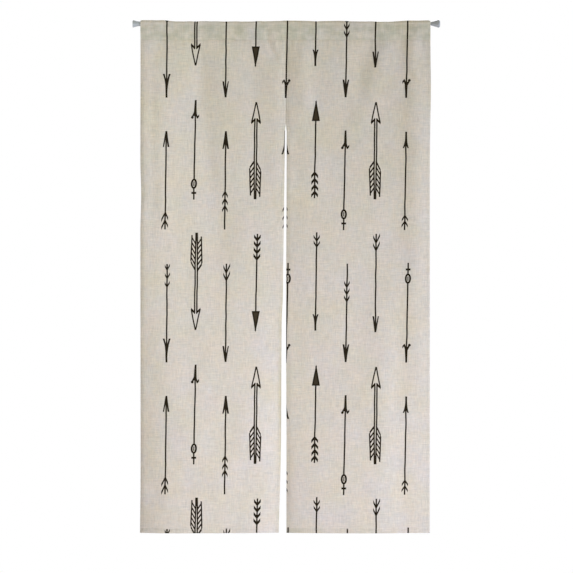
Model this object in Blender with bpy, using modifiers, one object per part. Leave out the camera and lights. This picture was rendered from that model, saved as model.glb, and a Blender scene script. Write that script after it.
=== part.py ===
"""A noren curtain on a tension rod.

Two cloth panels, sewn together down the middle at the top and open below that, hang by a sewn rod
pocket from a telescopic rod with a trumpet-shaped cap on each end. Metres, +Z up, and the front
faces -Y. The origin is the middle of the left cap's end face, on the rod's axis.
"""

import math
from collections import namedtuple

import bmesh
import bpy
import numpy as np

# Rod and caps
ROD_LENGTH = 0.900  # face to face of the end caps
OUTER_TUBE_RADIUS, OUTER_TUBE_BORE = 0.0055, 0.0048
INNER_TUBE_RADIUS, INNER_TUBE_BORE = 0.0045, 0.0039
OUTER_TUBE_END = 0.520  # where the outer tube's open end lies along the rod
TUBE_OVERLAP = 0.120  # how far the inner tube goes into the outer one
CAP_RADIUS = 0.0115
CAP_RIM = 0.0007  # rounding of a cap's rim
CAP_FLOOR = 0.006  # solid depth behind the left cap's face
LEFT_NECK_RADIUS = 0.0068
LEFT_FLARE_LENGTH = 0.0185
RIGHT_FLAT_RADIUS = 0.0055  # the flat middle of the right cap's domed end
RIGHT_DOME_DEPTH = 0.0045
SPIGOT_LENGTH = 0.018
TURNED_STEPS = 32
TRUMPET_POINTS = 6

# Cloth
DROP = 1.491  # rod's axis to the hem's lower edge
CLOTH = 0.001
HEM_CLOTH = 0.002  # where the cloth is turned back on itself
SIDE_HEM = 0.009
BOTTOM_HEM = 0.013
HEM_STEP = 0.0006  # width of the step down from a hem to the single cloth
POCKET_STITCH = 0.047  # depth of the stitch line that closes the rod pocket
POCKET_TURNING = 0.010  # the pocket's raw edge, turned under below the stitch line
POCKET_HALF_DEPTH = 0.0079  # from the rod's axis to the pocket's front or back
SEAM_MIDDLE = 0.4484
SLIT_TOP = 0.288  # depth where the middle seam ends
GAP = 0.0003  # between pieces, and between layers of one cloth

# Numbers of rows and columns in each panel's grid
SHEET_ROWS = 20
ROW_CROWDING = 1.5  # 1 spaces the sheet's rows evenly, and more crowds them towards the pocket
POCKET_ROWS = 4
TOP_ROWS = 10
COLUMNS = 28

# Where each panel's side edges run, at depths below the rod's axis.
Edge = namedtuple("Edge", "depth across")
EDGES = {
    "panel_left": {
        "left": [
            Edge(0.000, 0.0228),
            Edge(0.400, 0.0228),
            Edge(0.500, 0.0250),
            Edge(0.610, 0.0228),
            Edge(1.330, 0.0226),
            Edge(DROP, 0.0209),
        ],
        "right": [
            Edge(0.000, SEAM_MIDDLE - GAP / 2),
            Edge(SLIT_TOP, SEAM_MIDDLE - GAP / 2),
            Edge(0.314, 0.4458),
            Edge(0.472, 0.4439),
            Edge(0.692, 0.4410),
            Edge(0.800, 0.4394),
            Edge(0.873, 0.4360),
            Edge(1.219, 0.4342),
            Edge(DROP, 0.4275),
        ],
    },
    "panel_right": {
        "left": [
            Edge(0.000, SEAM_MIDDLE + GAP / 2),
            Edge(SLIT_TOP, SEAM_MIDDLE + GAP / 2),
            Edge(0.317, 0.4509),
            Edge(0.516, 0.4504),
            Edge(0.780, 0.4493),
            Edge(0.926, 0.4493),
            Edge(1.219, 0.4503),
            Edge(DROP, 0.4499),
        ],
        "right": [
            Edge(0.000, 0.8716),
            Edge(0.100, 0.8722),
            Edge(0.180, 0.8735),
            Edge(0.300, 0.8716),
            Edge(0.420, 0.8702),
            Edge(DROP, 0.8702),
        ],
    },
}

# The uneven top line of the pocket: its height above the rod's axis along the rod.
Top = namedtuple("Top", "across height")
TOP_LINE = [
    Top(0.0228, 0.0088),
    Top(0.0300, 0.0107),
    Top(0.0850, 0.0107),
    Top(0.1300, 0.0070),
    Top(0.3300, 0.0069),
    Top(0.4020, 0.0076),
    Top(0.4600, 0.0092),
    Top(0.4950, 0.0090),
    Top(0.5400, 0.0076),
    Top(0.6080, 0.0086),
    Top(0.6600, 0.0068),
    Top(0.7500, 0.0060),
    Top(0.8150, 0.0100),
    Top(0.8640, 0.0102),
    Top(0.8716, 0.0082),
]

# How much each panel bows towards the viewer between its side edges, at the rod and at the hem, and
# how far its hem sways in one long wave, with the wave's shift across the panel.
Hang = namedtuple("Hang", "bow_top bow_hem sway shift")
HANGS = {
    "panel_left": Hang(bow_top=-0.002, bow_hem=0.011, sway=0.005, shift=0.10),
    "panel_right": Hang(bow_top=0.002, bow_hem=0.006, sway=-0.006, shift=0.35),
}

# Each fold's place across the panel at the rod (0 left, 1 right), how far across it moves per metre
# down, its half width, its height towards the viewer (a trough is negative), and the depths where
# it starts, is strongest and has died out.
Fold = namedtuple("Fold", "at lean reach height start strongest end")
FOLDS = {
    "panel_left": [
        Fold(0.085, 0.00, 0.014, -0.0014, 0.05, 0.25, 1.10),
        Fold(0.060, 0.02, 0.085, 0.0098, 0.04, 0.40, 1.15),
        Fold(0.395, 0.20, 0.038, -0.0048, 0.02, 0.15, 1.20),
        Fold(0.780, 0.05, 0.030, -0.0016, 0.02, 0.15, 0.80),
        Fold(1.000, 0.00, 0.016, -0.0022, 0.05, 0.12, 0.95),
        Fold(1.000, 0.00, 0.065, -0.0115, 0.25, 1.30, 2.60),
        Fold(1.000, 0.00, 0.024, -0.0032, 0.75, 1.15, 2.60),
        Fold(0.000, 0.00, 0.045, -0.0050, 0.75, 1.35, 2.60),
    ],
    "panel_right": [
        Fold(0.000, 0.00, 0.016, -0.0022, 0.05, 0.12, 0.50),
        Fold(0.120, 0.00, 0.024, 0.0042, 0.02, 0.11, 0.42),
        Fold(0.000, 0.00, 0.014, -0.0030, 0.80, 1.30, 2.60),
        Fold(0.620, -0.720, 0.034, -0.0030, 0.01, 0.10, 0.38),
        Fold(0.734, -0.720, 0.034, 0.0025, 0.01, 0.10, 0.38),
        Fold(0.885, 0.00, 0.018, 0.0026, 0.00, 0.06, 0.30),
        Fold(0.900, 0.00, 0.034, 0.0058, 0.03, 0.30, 2.40),
        Fold(0.660, 0.02, 0.065, 0.0085, 0.60, 1.10, 2.20),
    ],
}
CURL, CURL_REACH = 0.0014, 0.005  # how far and how near the side edges turn back

# A row of the cloth's grid: the part of the cloth that it is on, and its place along that part.
Station = namedtuple("Station", "part at")


def clear_scene():
    for found in list(bpy.data.objects):
        bpy.data.objects.remove(found, do_unlink=True)


def material(name, colour, roughness, metallic=0.0):
    made = bpy.data.materials.new(name)
    made.use_nodes = True
    made.diffuse_color = (*colour, 1.0)
    shader = made.node_tree.nodes["Principled BSDF"]
    shader.inputs["Base Color"].default_value = (*colour, 1.0)
    shader.inputs["Roughness"].default_value = roughness
    shader.inputs["Metallic"].default_value = metallic
    return made


def new_object(name, mesh, finish, collection):
    made = bpy.data.objects.new(name, mesh)
    made.data.materials.append(finish)
    collection.objects.link(made)
    return made


def through(table, column, at):
    """A smooth line through a table's rows, read at one place: a cubic between each two rows. Its
    slope at a row is the harmonic mean of the slopes on either side, or level where they turn, so
    the line never swings past its rows."""
    places = np.array([row[0] for row in table])
    values = np.array([getattr(row, column) for row in table])
    steps = np.diff(values) / np.diff(places)
    slopes = [2 * a * b / (a + b) if a * b > 0 else 0.0 for a, b in zip(steps, steps[1:])]
    slopes = [steps[0], *slopes, steps[-1]]
    at = min(max(at, places[0]), places[-1])
    first = min(int(np.searchsorted(places, at, side="right")) - 1, len(places) - 2)
    span = places[first + 1] - places[first]
    t = (at - places[first]) / span
    return float(
        (2 * t**3 - 3 * t**2 + 1) * values[first]
        + (t**3 - 2 * t**2 + t) * span * slopes[first]
        + (3 * t**2 - 2 * t**3) * values[first + 1]
        + (t**3 - t**2) * span * slopes[first + 1]
    )


def ease(low, high, value):
    """0 below low, 1 above high, and a smooth S between them."""
    t = min(max((value - low) / (high - low), 0.0), 1.0)
    return t * t * (3 - 2 * t)


def across_at(panel, share, depth):
    """The place along the rod of a point that lies this share of the way across a panel."""
    left = through(EDGES[panel]["left"], "across", depth)
    right = through(EDGES[panel]["right"], "across", depth)
    return left + share * (right - left)


def width_of(panel):
    return across_at(panel, 1, 0) - across_at(panel, 0, 0)


def fold_height(fold, panel, share, depth):
    """A soft ridge or trough: a bell across the panel, rising and dying out down it."""
    middle = fold.at + fold.lean * depth
    off = (share - middle) * width_of(panel) / fold.reach
    strength = ease(fold.start, fold.strongest, depth) * (1 - ease(fold.strongest, fold.end, depth))
    return fold.height * strength * math.exp(-off * off)


def front_of_sheet(panel, share, depth):
    """Y of the cloth's front face below the pocket: bow, hem sway, folds and edges that turn back."""
    hang = HANGS[panel]
    down = depth / DROP
    below_stitch = ease(POCKET_STITCH, SLIT_TOP, depth)
    bow = (hang.bow_top + (hang.bow_hem - hang.bow_top) * down) * 4 * share * (1 - share)
    sway = hang.sway * down**2 * math.sin(2 * math.pi * (share + hang.shift))
    to_edge = min(share, 1 - share) * width_of(panel)
    curl = CURL * math.exp(-to_edge / CURL_REACH)
    folds = sum(fold_height(fold, panel, share, depth) for fold in FOLDS[panel])
    at_stitch = -(CLOTH + GAP / 2)
    return at_stitch + below_stitch * (curl - bow - sway) - folds


def is_side_hem(panel, share):
    return min(share, 1 - share) * width_of(panel) < SIDE_HEM + HEM_STEP / 2


def cloth_point(panel, share, station):
    """The place of one grid point, on the cloth's outer face."""
    layer = HEM_CLOTH if is_side_hem(panel, share) else CLOTH
    depth = station.at if station.part in ("sheet", "flap") else POCKET_STITCH
    front = front_of_sheet(panel, share, depth)
    back = front + 2 * layer + GAP
    if station.part == "sheet":
        return across_at(panel, share, depth), front, -depth
    if station.part == "flap":
        return across_at(panel, share, depth), back, -depth
    if station.part == "over":
        across = across_at(panel, share, 0)
        height = through(TOP_LINE, "height", across)
        return across, -POCKET_HALF_DEPTH * math.cos(station.at), height * math.sin(station.at)
    rise = POCKET_STITCH * station.at
    swell = math.sin(math.pi / 2 * station.at)
    stitched, side = (front, -1) if station.part == "front" else (back, 1)
    y = stitched + (side * POCKET_HALF_DEPTH - stitched) * swell
    return across_at(panel, share, POCKET_STITCH - rise), y, rise - POCKET_STITCH


def stations():
    """The grid's rows: from the hem up the front, over the rod, down the back and under. The rows
    of the sheet lie closer together near the pocket, where the folds change faster."""
    flap_end = POCKET_STITCH + POCKET_TURNING
    hem_edge = DROP - BOTTOM_HEM
    spread = np.linspace(1, 0, SHEET_ROWS) ** ROW_CROWDING
    depths = flap_end + (hem_edge - HEM_STEP - flap_end) * spread
    rises = np.linspace(0, 1, POCKET_ROWS + 1)
    return [
        *(Station("sheet", depth) for depth in (DROP, hem_edge, *depths, POCKET_STITCH)),
        *(Station("front", rise) for rise in rises[1:]),
        *(Station("over", angle) for angle in np.linspace(0, math.pi, TOP_ROWS + 1)[1:]),
        *(Station("back", rise) for rise in rises[-2::-1]),
        Station("flap", flap_end),
    ]


def shares(panel):
    """The grid's columns, with a pair at the inner edge of each side hem."""
    hem = SIDE_HEM / width_of(panel)
    step = HEM_STEP / width_of(panel)
    return [0, hem, *np.linspace(hem + step, 1 - hem - step, COLUMNS), 1 - hem, 1]


def cloth_panel(panel, finish, collection):
    """One cloth: a grid laid on its outer face, thickened inwards, and thicker at the hems."""
    rows, columns = stations(), shares(panel)
    bm = bmesh.new()
    bmesh.ops.create_grid(bm, x_segments=len(columns) - 1, y_segments=len(rows) - 1, size=1)
    hemmed = []
    for index, vert in enumerate(bm.verts):
        row, share = rows[index // len(columns)], columns[index % len(columns)]
        vert.co = cloth_point(panel, share, row)
        in_bottom_hem = row.part == "sheet" and row.at > DROP - BOTTOM_HEM - HEM_STEP / 2
        if in_bottom_hem or is_side_hem(panel, share):
            hemmed.append(index)
    mesh = bpy.data.meshes.new(panel)
    bm.to_mesh(mesh)
    bm.free()
    mesh.shade_smooth()
    made = new_object(panel, mesh, finish, collection)
    made.vertex_groups.new(name="hems").add(hemmed, 1.0, "REPLACE")
    thicken = made.modifiers.new("cloth thickness", "SOLIDIFY")
    thicken.thickness = HEM_CLOTH
    thicken.offset = -1
    thicken.use_even_offset = True
    thicken.vertex_group = "hems"
    thicken.thickness_vertex_group = CLOTH / HEM_CLOTH
    return made


def turned(name, profile, finish, collection):
    """A shape turned about the rod's axis from a profile of (radius, place along the rod)."""
    mesh = bpy.data.meshes.new(name)
    bm = bmesh.new()
    points = [bm.verts.new((radius, 0, along)) for radius, along in profile]
    closed = profile[0][0] > 0  # a ring, such as a tube: its profile never meets the axis
    for first, second in zip(points, points[1:] + (points[:1] if closed else [])):
        bm.edges.new((first, second))
    bm.to_mesh(mesh)
    bm.free()
    made = new_object(name, mesh, finish, collection)
    made.rotation_euler = (0, math.pi / 2, 0)
    turn = made.modifiers.new("turned", "SCREW")
    turn.axis = "Z"
    turn.steps = turn.render_steps = TURNED_STEPS
    turn.use_merge_vertices = True
    turn.merge_threshold = 0.00001
    return made


def tube(name, radius, bore, start, end, finish, collection):
    profile = [(radius, end), (radius, start), (bore, start), (bore, end)]
    return turned(name, profile, finish, collection)


def left_cap(finish, collection):
    """A socket over the outer tube, flaring to a flat round foot that presses on the jamb."""
    mouth = EDGES["panel_left"]["left"][0].across - 2 * GAP
    socket = OUTER_TUBE_RADIUS + GAP
    flare = []
    for along in np.linspace(LEFT_FLARE_LENGTH, CAP_RIM, TRUMPET_POINTS):
        widening = (1 - along / LEFT_FLARE_LENGTH) ** 1.3
        flare.append((LEFT_NECK_RADIUS + (CAP_RADIUS - LEFT_NECK_RADIUS) * widening, along))
    profile = [
        (0, CAP_FLOOR),
        (socket, CAP_FLOOR),
        (socket, mouth),
        (LEFT_NECK_RADIUS, mouth),
        *flare,
        (CAP_RADIUS - CAP_RIM, 0),
        (0, 0),
    ]
    return turned("end_cap_left", profile, finish, collection)


def right_cap(shoulder, finish, collection):
    """A plug in the inner tube, flaring straight to a domed foot with a flat middle."""
    rim = ROD_LENGTH - RIGHT_DOME_DEPTH
    spigot = INNER_TUBE_BORE - GAP
    dome = []
    for angle in np.linspace(math.pi / 2, 0, TRUMPET_POINTS):
        radius = RIGHT_FLAT_RADIUS + (CAP_RADIUS - RIGHT_FLAT_RADIUS) * math.cos(angle)
        dome.append((radius, rim + RIGHT_DOME_DEPTH * math.sin(angle)))
    profile = [
        (0, ROD_LENGTH),
        *dome,
        (INNER_TUBE_RADIUS, shoulder),
        (spigot, shoulder),
        (spigot, shoulder - SPIGOT_LENGTH),
        (0, shoulder - SPIGOT_LENGTH),
    ]
    return turned("end_cap_right", profile, finish, collection)


def build():
    clear_scene()
    curtain = bpy.data.collections.new("noren curtain")
    bpy.context.scene.collection.children.link(curtain)
    linen = material("linen-look cloth", (0.60, 0.56, 0.49), 0.9)
    white_steel = material("painted steel tube", (0.80, 0.80, 0.78), 0.4)
    grey_plastic = material("grey plastic", (0.48, 0.51, 0.50), 0.5)

    for panel in EDGES:
        cloth_panel(panel, linen, curtain)

    shoulder = EDGES["panel_right"]["right"][0].across + 2 * GAP
    tube(
        "rod_outer_tube",
        OUTER_TUBE_RADIUS,
        OUTER_TUBE_BORE,
        CAP_FLOOR + GAP,
        OUTER_TUBE_END,
        white_steel,
        curtain,
    )
    tube(
        "rod_inner_tube",
        INNER_TUBE_RADIUS,
        INNER_TUBE_BORE,
        OUTER_TUBE_END - TUBE_OVERLAP,
        shoulder - GAP,
        white_steel,
        curtain,
    )
    left_cap(grey_plastic, curtain)
    right_cap(shoulder, grey_plastic, curtain)


build()
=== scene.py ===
# %% [markdown]
# # A printed noren curtain on a tension rod
# A noren is a split doorway curtain. This one is two lengths of linen-look cloth, printed with
# arrows, sewn together at the top and hung by a sewn pocket from a slim rod with trumpet-shaped
# feet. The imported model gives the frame, and this lesson dresses it: thin cloth in place of the
# plain panels, the weave, the print, every stitch, and a finish for the rod.

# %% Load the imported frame
import math
from collections import namedtuple

import bpy
import numpy as np
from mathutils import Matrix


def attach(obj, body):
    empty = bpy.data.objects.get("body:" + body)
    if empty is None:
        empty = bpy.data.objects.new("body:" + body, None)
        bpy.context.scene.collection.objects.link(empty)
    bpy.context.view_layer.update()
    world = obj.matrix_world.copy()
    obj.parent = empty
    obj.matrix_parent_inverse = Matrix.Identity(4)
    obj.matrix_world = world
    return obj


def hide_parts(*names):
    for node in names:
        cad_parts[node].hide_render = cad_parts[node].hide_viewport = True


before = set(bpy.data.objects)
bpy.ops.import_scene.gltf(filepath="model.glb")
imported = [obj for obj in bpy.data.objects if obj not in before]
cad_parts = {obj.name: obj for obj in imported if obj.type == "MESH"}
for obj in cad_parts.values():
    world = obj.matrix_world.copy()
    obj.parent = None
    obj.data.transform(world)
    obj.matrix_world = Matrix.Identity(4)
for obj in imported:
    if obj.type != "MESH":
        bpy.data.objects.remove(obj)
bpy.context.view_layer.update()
print("nodes:", sorted(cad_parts))

# %% [markdown]
# ## Camera
# The curtain is seen square on and from far away, so its edges run straight and parallel. A long
# lens does that: the camera stands 7.5 m off, level with the middle of the picture. The picture is
# 1.678 m wide at the cloth, which sets the lens.

# %% Place the camera
VIEW_WIDTH = 1.678  # metres of the cloth's plane across the picture
VIEW_MIDDLE = (0.4503, -0.7694)  # along the rod, and above its axis
CAMERA_DISTANCE = 7.5
SENSOR_WIDTH = 36.0  # millimetres

lens = bpy.data.cameras.new("camera")
lens.sensor_width = SENSOR_WIDTH
lens.lens = SENSOR_WIDTH * CAMERA_DISTANCE / VIEW_WIDTH
lens.clip_end = 50
camera = bpy.data.objects.new("camera", lens)
camera.location = (VIEW_MIDDLE[0], -CAMERA_DISTANCE, VIEW_MIDDLE[1])
camera.rotation_euler = (math.pi / 2, 0, 0)
bpy.context.scene.collection.objects.link(camera)
bpy.context.scene.camera = camera
print("lens, mm:", round(lens.lens, 1))

# %% [markdown]
# ## Colours and nodes
# Colours are picked as the eye names them, in sRGB hex, but light adds up in linear numbers. One
# function turns the first into the second. A second one adds a shader node, with its settings and
# what is plugged into it, so that every material below reads as a list of steps.


# %% Turn a hex colour into linear light
def linear(hex_colour):
    """Each pair of hex digits is a share of 255. Under 0.04045 it is divided by 12.92, and above
    that it is ((share + 0.055) / 1.055) to the power 2.4."""
    shares = [int(hex_colour[i : i + 2], 16) / 255 for i in (1, 3, 5)]
    light = [s / 12.92 if s <= 0.04045 else ((s + 0.055) / 1.055) ** 2.4 for s in shares]
    return (*light, 1.0)


print("mid grey in linear light:", [round(c, 3) for c in linear("#808080")])


# %% Add one node
def add(tree, kind, *values, sockets=None, **settings):
    """Adds a shader node. A kind such as Math ADD says its operation too, and settings are its
    other properties. The values fill its inputs in order, and sockets fills more by name or
    number. A node or an output is linked, and anything else is set."""
    kind, *operation = kind.split()
    node = tree.nodes.new("ShaderNode" + kind)
    if operation:
        node.operation = operation[0]
    for name, setting in settings.items():
        setattr(node, name, setting)
    for socket, value in [*enumerate(values), *(sockets or {}).items()]:
        if isinstance(value, bpy.types.Node):
            value = value.outputs[0]
        if isinstance(value, bpy.types.NodeSocket):
            tree.links.new(value, node.inputs[socket])
        elif value is not None:
            node.inputs[socket].default_value = value
    return node


# A Mix node has sockets for several kinds of value. These are the numbers of its colour ones.
COLOUR_A, COLOUR_B, COLOUR_OUT = 6, 7, 2


# %% Chain one sum over several values
def chain(tree, operation, *values):
    """The first value and the second make one, that and the third make the next, and so on."""
    total = values[0]
    for value in values[1:]:
        total = add(tree, "Math " + operation, total, value)
    return total


# %% Start a material
def new_material(name):
    """An empty node tree, which the caller ends with an output node."""
    made = bpy.data.materials.new(name)
    made.use_nodes = True
    made.node_tree.nodes.clear()
    return made, made.node_tree


# %% [markdown]
# ## Light and stage
# The picture is a shop photograph on white. Soft, warm light comes from everywhere, and a broad
# lamp far off to the right makes what turns right bright and what turns left dark. A wide lamp low
# in front and a cool one low on the right make the cloth brighter towards its hem. A small lamp
# lifts the top left corner, one behind lights the back, and one overhead lights the top edge. The
# world shows white to the camera.

# %% Light the room
ROOM_LIGHT = 0.238
scene = bpy.context.scene
scene.view_settings.view_transform = "Standard"
world = bpy.data.worlds.new("soft white studio")
scene.world = world
world.use_nodes = True
sky = world.node_tree
sky.nodes.clear()
seen = add(sky, "Background", (1, 1, 1, 1), 1.0)
lit = add(sky, "Background", linear("#fff1c9"), ROOM_LIGHT)
to_camera = add(sky, "LightPath")
both_skies = add(sky, "MixShader", to_camera.outputs["Is Camera Ray"], lit, seen)
add(sky, "OutputWorld", both_skies)
print("room light:", ROOM_LIGHT)

# %% Hang the lamps
Lamp = namedtuple("Lamp", "name kind place target size power colour")
LIT_MIDDLE = (0.45, 0.0, -0.8)
LAMPS = [
    Lamp("side lamp", "SUN", (8.8, -4.7, -1.3), LIT_MIDDLE, math.radians(25), 1.27, "#f6ffe0"),
    Lamp("low softbox", "AREA", (0.45, -1.9, -1.55), (0.45, 0, -1.0), 0.8, 17.2, "#e8e4ff"),
    Lamp("left softbox", "AREA", (-0.35, -0.9, -0.15), (0.1, 0, -0.35), 0.5, 2.05, "#e9f0ff"),
    Lamp("cool softbox", "AREA", (5.2, -1.3, -1.6), (0.45, 0, -1.25), 1.2, 145, "#b1b8ff"),
    Lamp("back softbox", "AREA", (0.8, 3.0, 1.6), LIT_MIDDLE, 2.6, 156, "#ebebff"),
    Lamp("top lamp", "SUN", (0.6, -0.6, 6.0), LIT_MIDDLE, math.radians(20), 1.0, "#e4e9ff"),
]


def aim(place, target):
    """The turn that points a lamp's -Z from its place to the target."""
    away = [t - p for t, p in zip(target, place)]
    flat = math.hypot(away[0], away[1])
    return (math.atan2(flat, -away[2]), 0, math.atan2(-away[0], away[1]))


for lamp in LAMPS:
    light = bpy.data.lights.new(lamp.name, lamp.kind)
    light.energy = lamp.power
    light.color = linear(lamp.colour)[:3]
    if lamp.kind == "SUN":
        light.angle = lamp.size
    else:
        light.size = lamp.size
    lamp_object = bpy.data.objects.new(lamp.name, light)
    lamp_object.location = lamp.place
    lamp_object.rotation_euler = aim(lamp.place, lamp.target)
    lamp_object.visible_camera = False
    scene.collection.objects.link(lamp_object)
print("lamps:", len(LAMPS))

# %% Lay the floor
# It lies 0.5 m below the hem, as under a doorway, and fades to the white of the set at its rim.
FLOOR_DEPTH = 2.0
FLOOR_RADIUS = 3.0
FLOOR_SIDES = 96
FLOOR_FADE = (0.45, 0.97)  # shares of the radius where the white starts and is whole
floor_angles = np.linspace(0, 2 * math.pi, FLOOR_SIDES, endpoint=False)
floor_points = np.stack(
    [
        VIEW_MIDDLE[0] + FLOOR_RADIUS * np.cos(floor_angles),
        FLOOR_RADIUS * np.sin(floor_angles),
        np.full(FLOOR_SIDES, -FLOOR_DEPTH),
    ],
    axis=1,
)
floor_mesh = bpy.data.meshes.new("floor")
floor_mesh.from_pydata(floor_points.tolist(), [], [list(range(FLOOR_SIDES))])
floor = bpy.data.objects.new("floor", floor_mesh)
scene.collection.objects.link(floor)

pale_floor, tree = new_material("pale matt floor")
place = add(tree, "TexCoord").outputs["Object"]
floor_middle = (VIEW_MIDDLE[0], 0, -FLOOR_DEPTH)
from_middle = add(tree, "VectorMath DISTANCE", place, floor_middle)
fade_from, fade_to = (share * FLOOR_RADIUS for share in FLOOR_FADE)
fade = add(tree, "MapRange", from_middle.outputs["Value"], fade_from, fade_to)
fade.interpolation_type = "SMOOTHSTEP"
matt = add(tree, "BsdfDiffuse", linear("#f1f0ee"))
white = add(tree, "Emission", (1, 1, 1, 1), 1.0)
add(tree, "OutputMaterial", add(tree, "MixShader", fade, matt, white))
floor_mesh.materials.append(pale_floor)
print("floor at", -FLOOR_DEPTH)

# %% [markdown]
# ## The cloth's sizes
# Everything is measured in the frame: +X along the rod from the left foot, -Y towards the viewer,
# and depth downwards from the rod's axis. The tables repeat the construction's driving sizes, so
# that the cloth hangs exactly where its solid does.

# %% Name the sizes
DROP = 1.491  # rod's axis to the hem's lower edge
SIDE_HEM = 0.009
BOTTOM_HEM = 0.013
POCKET_STITCH = 0.047
POCKET_TURNING = 0.010
POCKET_HALF_DEPTH = 0.0079
SEAM_MIDDLE = 0.4484
SLIT_TOP = 0.288
GAP = 0.0003
SEAM_GAP = 0.00004  # the sewn edges of the real cloth touch
CLOTH_TOP = -(0.001 + GAP / 2)  # y of the front face at the stitch line
CURL, CURL_REACH = 0.0014, 0.005  # how far the side edges turn back, and how far in that reaches

# The linen itself, thinner than the solid that stands for it.
THREAD_SHEET = 0.00045
LAYER_GAP = 0.0001
DOUBLE = 2 * THREAD_SHEET + LAYER_GAP  # from one printed face to the other of cloth folded once

# The side edges of each panel: rows of a depth, and the edge's place along the rod there.
EDGES = {
    "panel_left": {
        "left": [
            (0.000, 0.0228),
            (0.400, 0.0228),
            (0.500, 0.0250),
            (0.610, 0.0228),
            (1.330, 0.0226),
            (DROP, 0.0209),
        ],
        "right": [
            (0.000, SEAM_MIDDLE - SEAM_GAP / 2),
            (SLIT_TOP, SEAM_MIDDLE - SEAM_GAP / 2),
            (0.314, 0.4458),
            (0.472, 0.4439),
            (0.692, 0.4410),
            (0.800, 0.4394),
            (0.873, 0.4360),
            (1.219, 0.4342),
            (DROP, 0.4275),
        ],
    },
    "panel_right": {
        "left": [
            (0.000, SEAM_MIDDLE + SEAM_GAP / 2),
            (SLIT_TOP, SEAM_MIDDLE + SEAM_GAP / 2),
            (0.317, 0.4509),
            (0.516, 0.4504),
            (0.780, 0.4493),
            (0.926, 0.4493),
            (1.219, 0.4503),
            (DROP, 0.4499),
        ],
        "right": [
            (0.000, 0.8716),
            (0.100, 0.8722),
            (0.180, 0.8735),
            (0.300, 0.8716),
            (0.420, 0.8702),
            (DROP, 0.8702),
        ],
    },
}

# The top line: rows of a place along the rod, and the cloth's height above the rod's axis there.
TOP_LINE = [
    (0.0228, 0.0088),
    (0.0300, 0.0107),
    (0.0850, 0.0107),
    (0.1300, 0.0070),
    (0.3300, 0.0069),
    (0.4020, 0.0076),
    (0.4600, 0.0092),
    (0.4950, 0.0090),
    (0.5400, 0.0076),
    (0.6080, 0.0086),
    (0.6600, 0.0068),
    (0.7500, 0.0060),
    (0.8150, 0.0100),
    (0.8640, 0.0102),
    (0.8716, 0.0082),
]

Hang = namedtuple("Hang", "bow_top bow_hem sway shift")
HANGS = {
    "panel_left": Hang(bow_top=-0.002, bow_hem=0.011, sway=0.005, shift=0.10),
    "panel_right": Hang(bow_top=0.002, bow_hem=0.006, sway=-0.006, shift=0.35),
}

Fold = namedtuple("Fold", "at lean reach height start strongest end")
FOLDS = {
    "panel_left": [
        Fold(0.085, 0.00, 0.014, -0.0014, 0.05, 0.25, 1.10),
        Fold(0.060, 0.02, 0.085, 0.0098, 0.04, 0.40, 1.15),
        Fold(0.395, 0.20, 0.038, -0.0048, 0.02, 0.15, 1.20),
        Fold(0.780, 0.05, 0.030, -0.0016, 0.02, 0.15, 0.80),
        Fold(1.000, 0.00, 0.016, -0.0022, 0.05, 0.12, 0.95),
        Fold(1.000, 0.00, 0.065, -0.0115, 0.25, 1.30, 2.60),
        Fold(1.000, 0.00, 0.024, -0.0032, 0.75, 1.15, 2.60),
        Fold(0.000, 0.00, 0.045, -0.0050, 0.75, 1.35, 2.60),
    ],
    "panel_right": [
        Fold(0.000, 0.00, 0.016, -0.0022, 0.05, 0.12, 0.50),
        Fold(0.120, 0.00, 0.024, 0.0042, 0.02, 0.11, 0.42),
        Fold(0.000, 0.00, 0.014, -0.0030, 0.80, 1.30, 2.60),
        Fold(0.620, -0.720, 0.034, -0.0030, 0.01, 0.10, 0.38),
        Fold(0.734, -0.720, 0.034, 0.0025, 0.01, 0.10, 0.38),
        Fold(0.885, 0.00, 0.018, 0.0026, 0.00, 0.06, 0.30),
        Fold(0.900, 0.00, 0.034, 0.0058, 0.03, 0.30, 2.40),
        Fold(0.660, 0.02, 0.065, 0.0085, 0.60, 1.10, 2.20),
    ],
}
print("folds:", {panel: len(folds) for panel, folds in FOLDS.items()})

# %% [markdown]
# ## Smooth lines and soft steps
# Four small tools shape the cloth. One draws a smooth line through a table's rows, one is a soft
# step from 0 to 1, one is a bell, and one is a random but gentle unevenness, the same each time it
# is worked out.


# %% A smooth line through a table
def through(table, at):
    """A cubic between each two rows of a place and a value. Its slope at a row is the harmonic mean
    of the slopes on either side, or level where they turn, so it never swings past its rows."""
    places, values = np.array(table).T
    at = np.clip(at, places[0], places[-1])
    steps = np.diff(values) / np.diff(places)
    same_way = steps[:-1] * steps[1:] > 0
    sums = np.where(same_way, steps[:-1] + steps[1:], 1)
    inner = np.where(same_way, 2 * steps[:-1] * steps[1:] / sums, 0)
    slopes = np.concatenate([steps[:1], inner, steps[-1:]])
    first = np.clip(np.searchsorted(places, at, side="right") - 1, 0, len(places) - 2)
    span = np.diff(places)[first]
    t = (at - places[first]) / span
    return (
        (2 * t**3 - 3 * t**2 + 1) * values[first]
        + (t**3 - 2 * t**2 + t) * span * slopes[first]
        + (3 * t**2 - 2 * t**3) * values[first + 1]
        + (t**3 - t**2) * span * slopes[first + 1]
    )


print("top line over the rod's middle:", round(float(through(TOP_LINE, 0.45)), 4))


# %% A soft step
def ease(low, high, value):
    """0 below low, 1 above high, and t squared times (3 - 2t) between them."""
    t = np.clip((value - low) / (high - low), 0, 1)
    return t * t * (3 - 2 * t)


# %% A bell
def bell(off, reach):
    """1 in the middle, and less and less on both sides: e to the power of minus the square of the
    way off, in reaches."""
    return np.exp(-((off / reach) ** 2))


# %% A gentle unevenness
NET = 128  # knots each way, after which the net starts again


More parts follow.
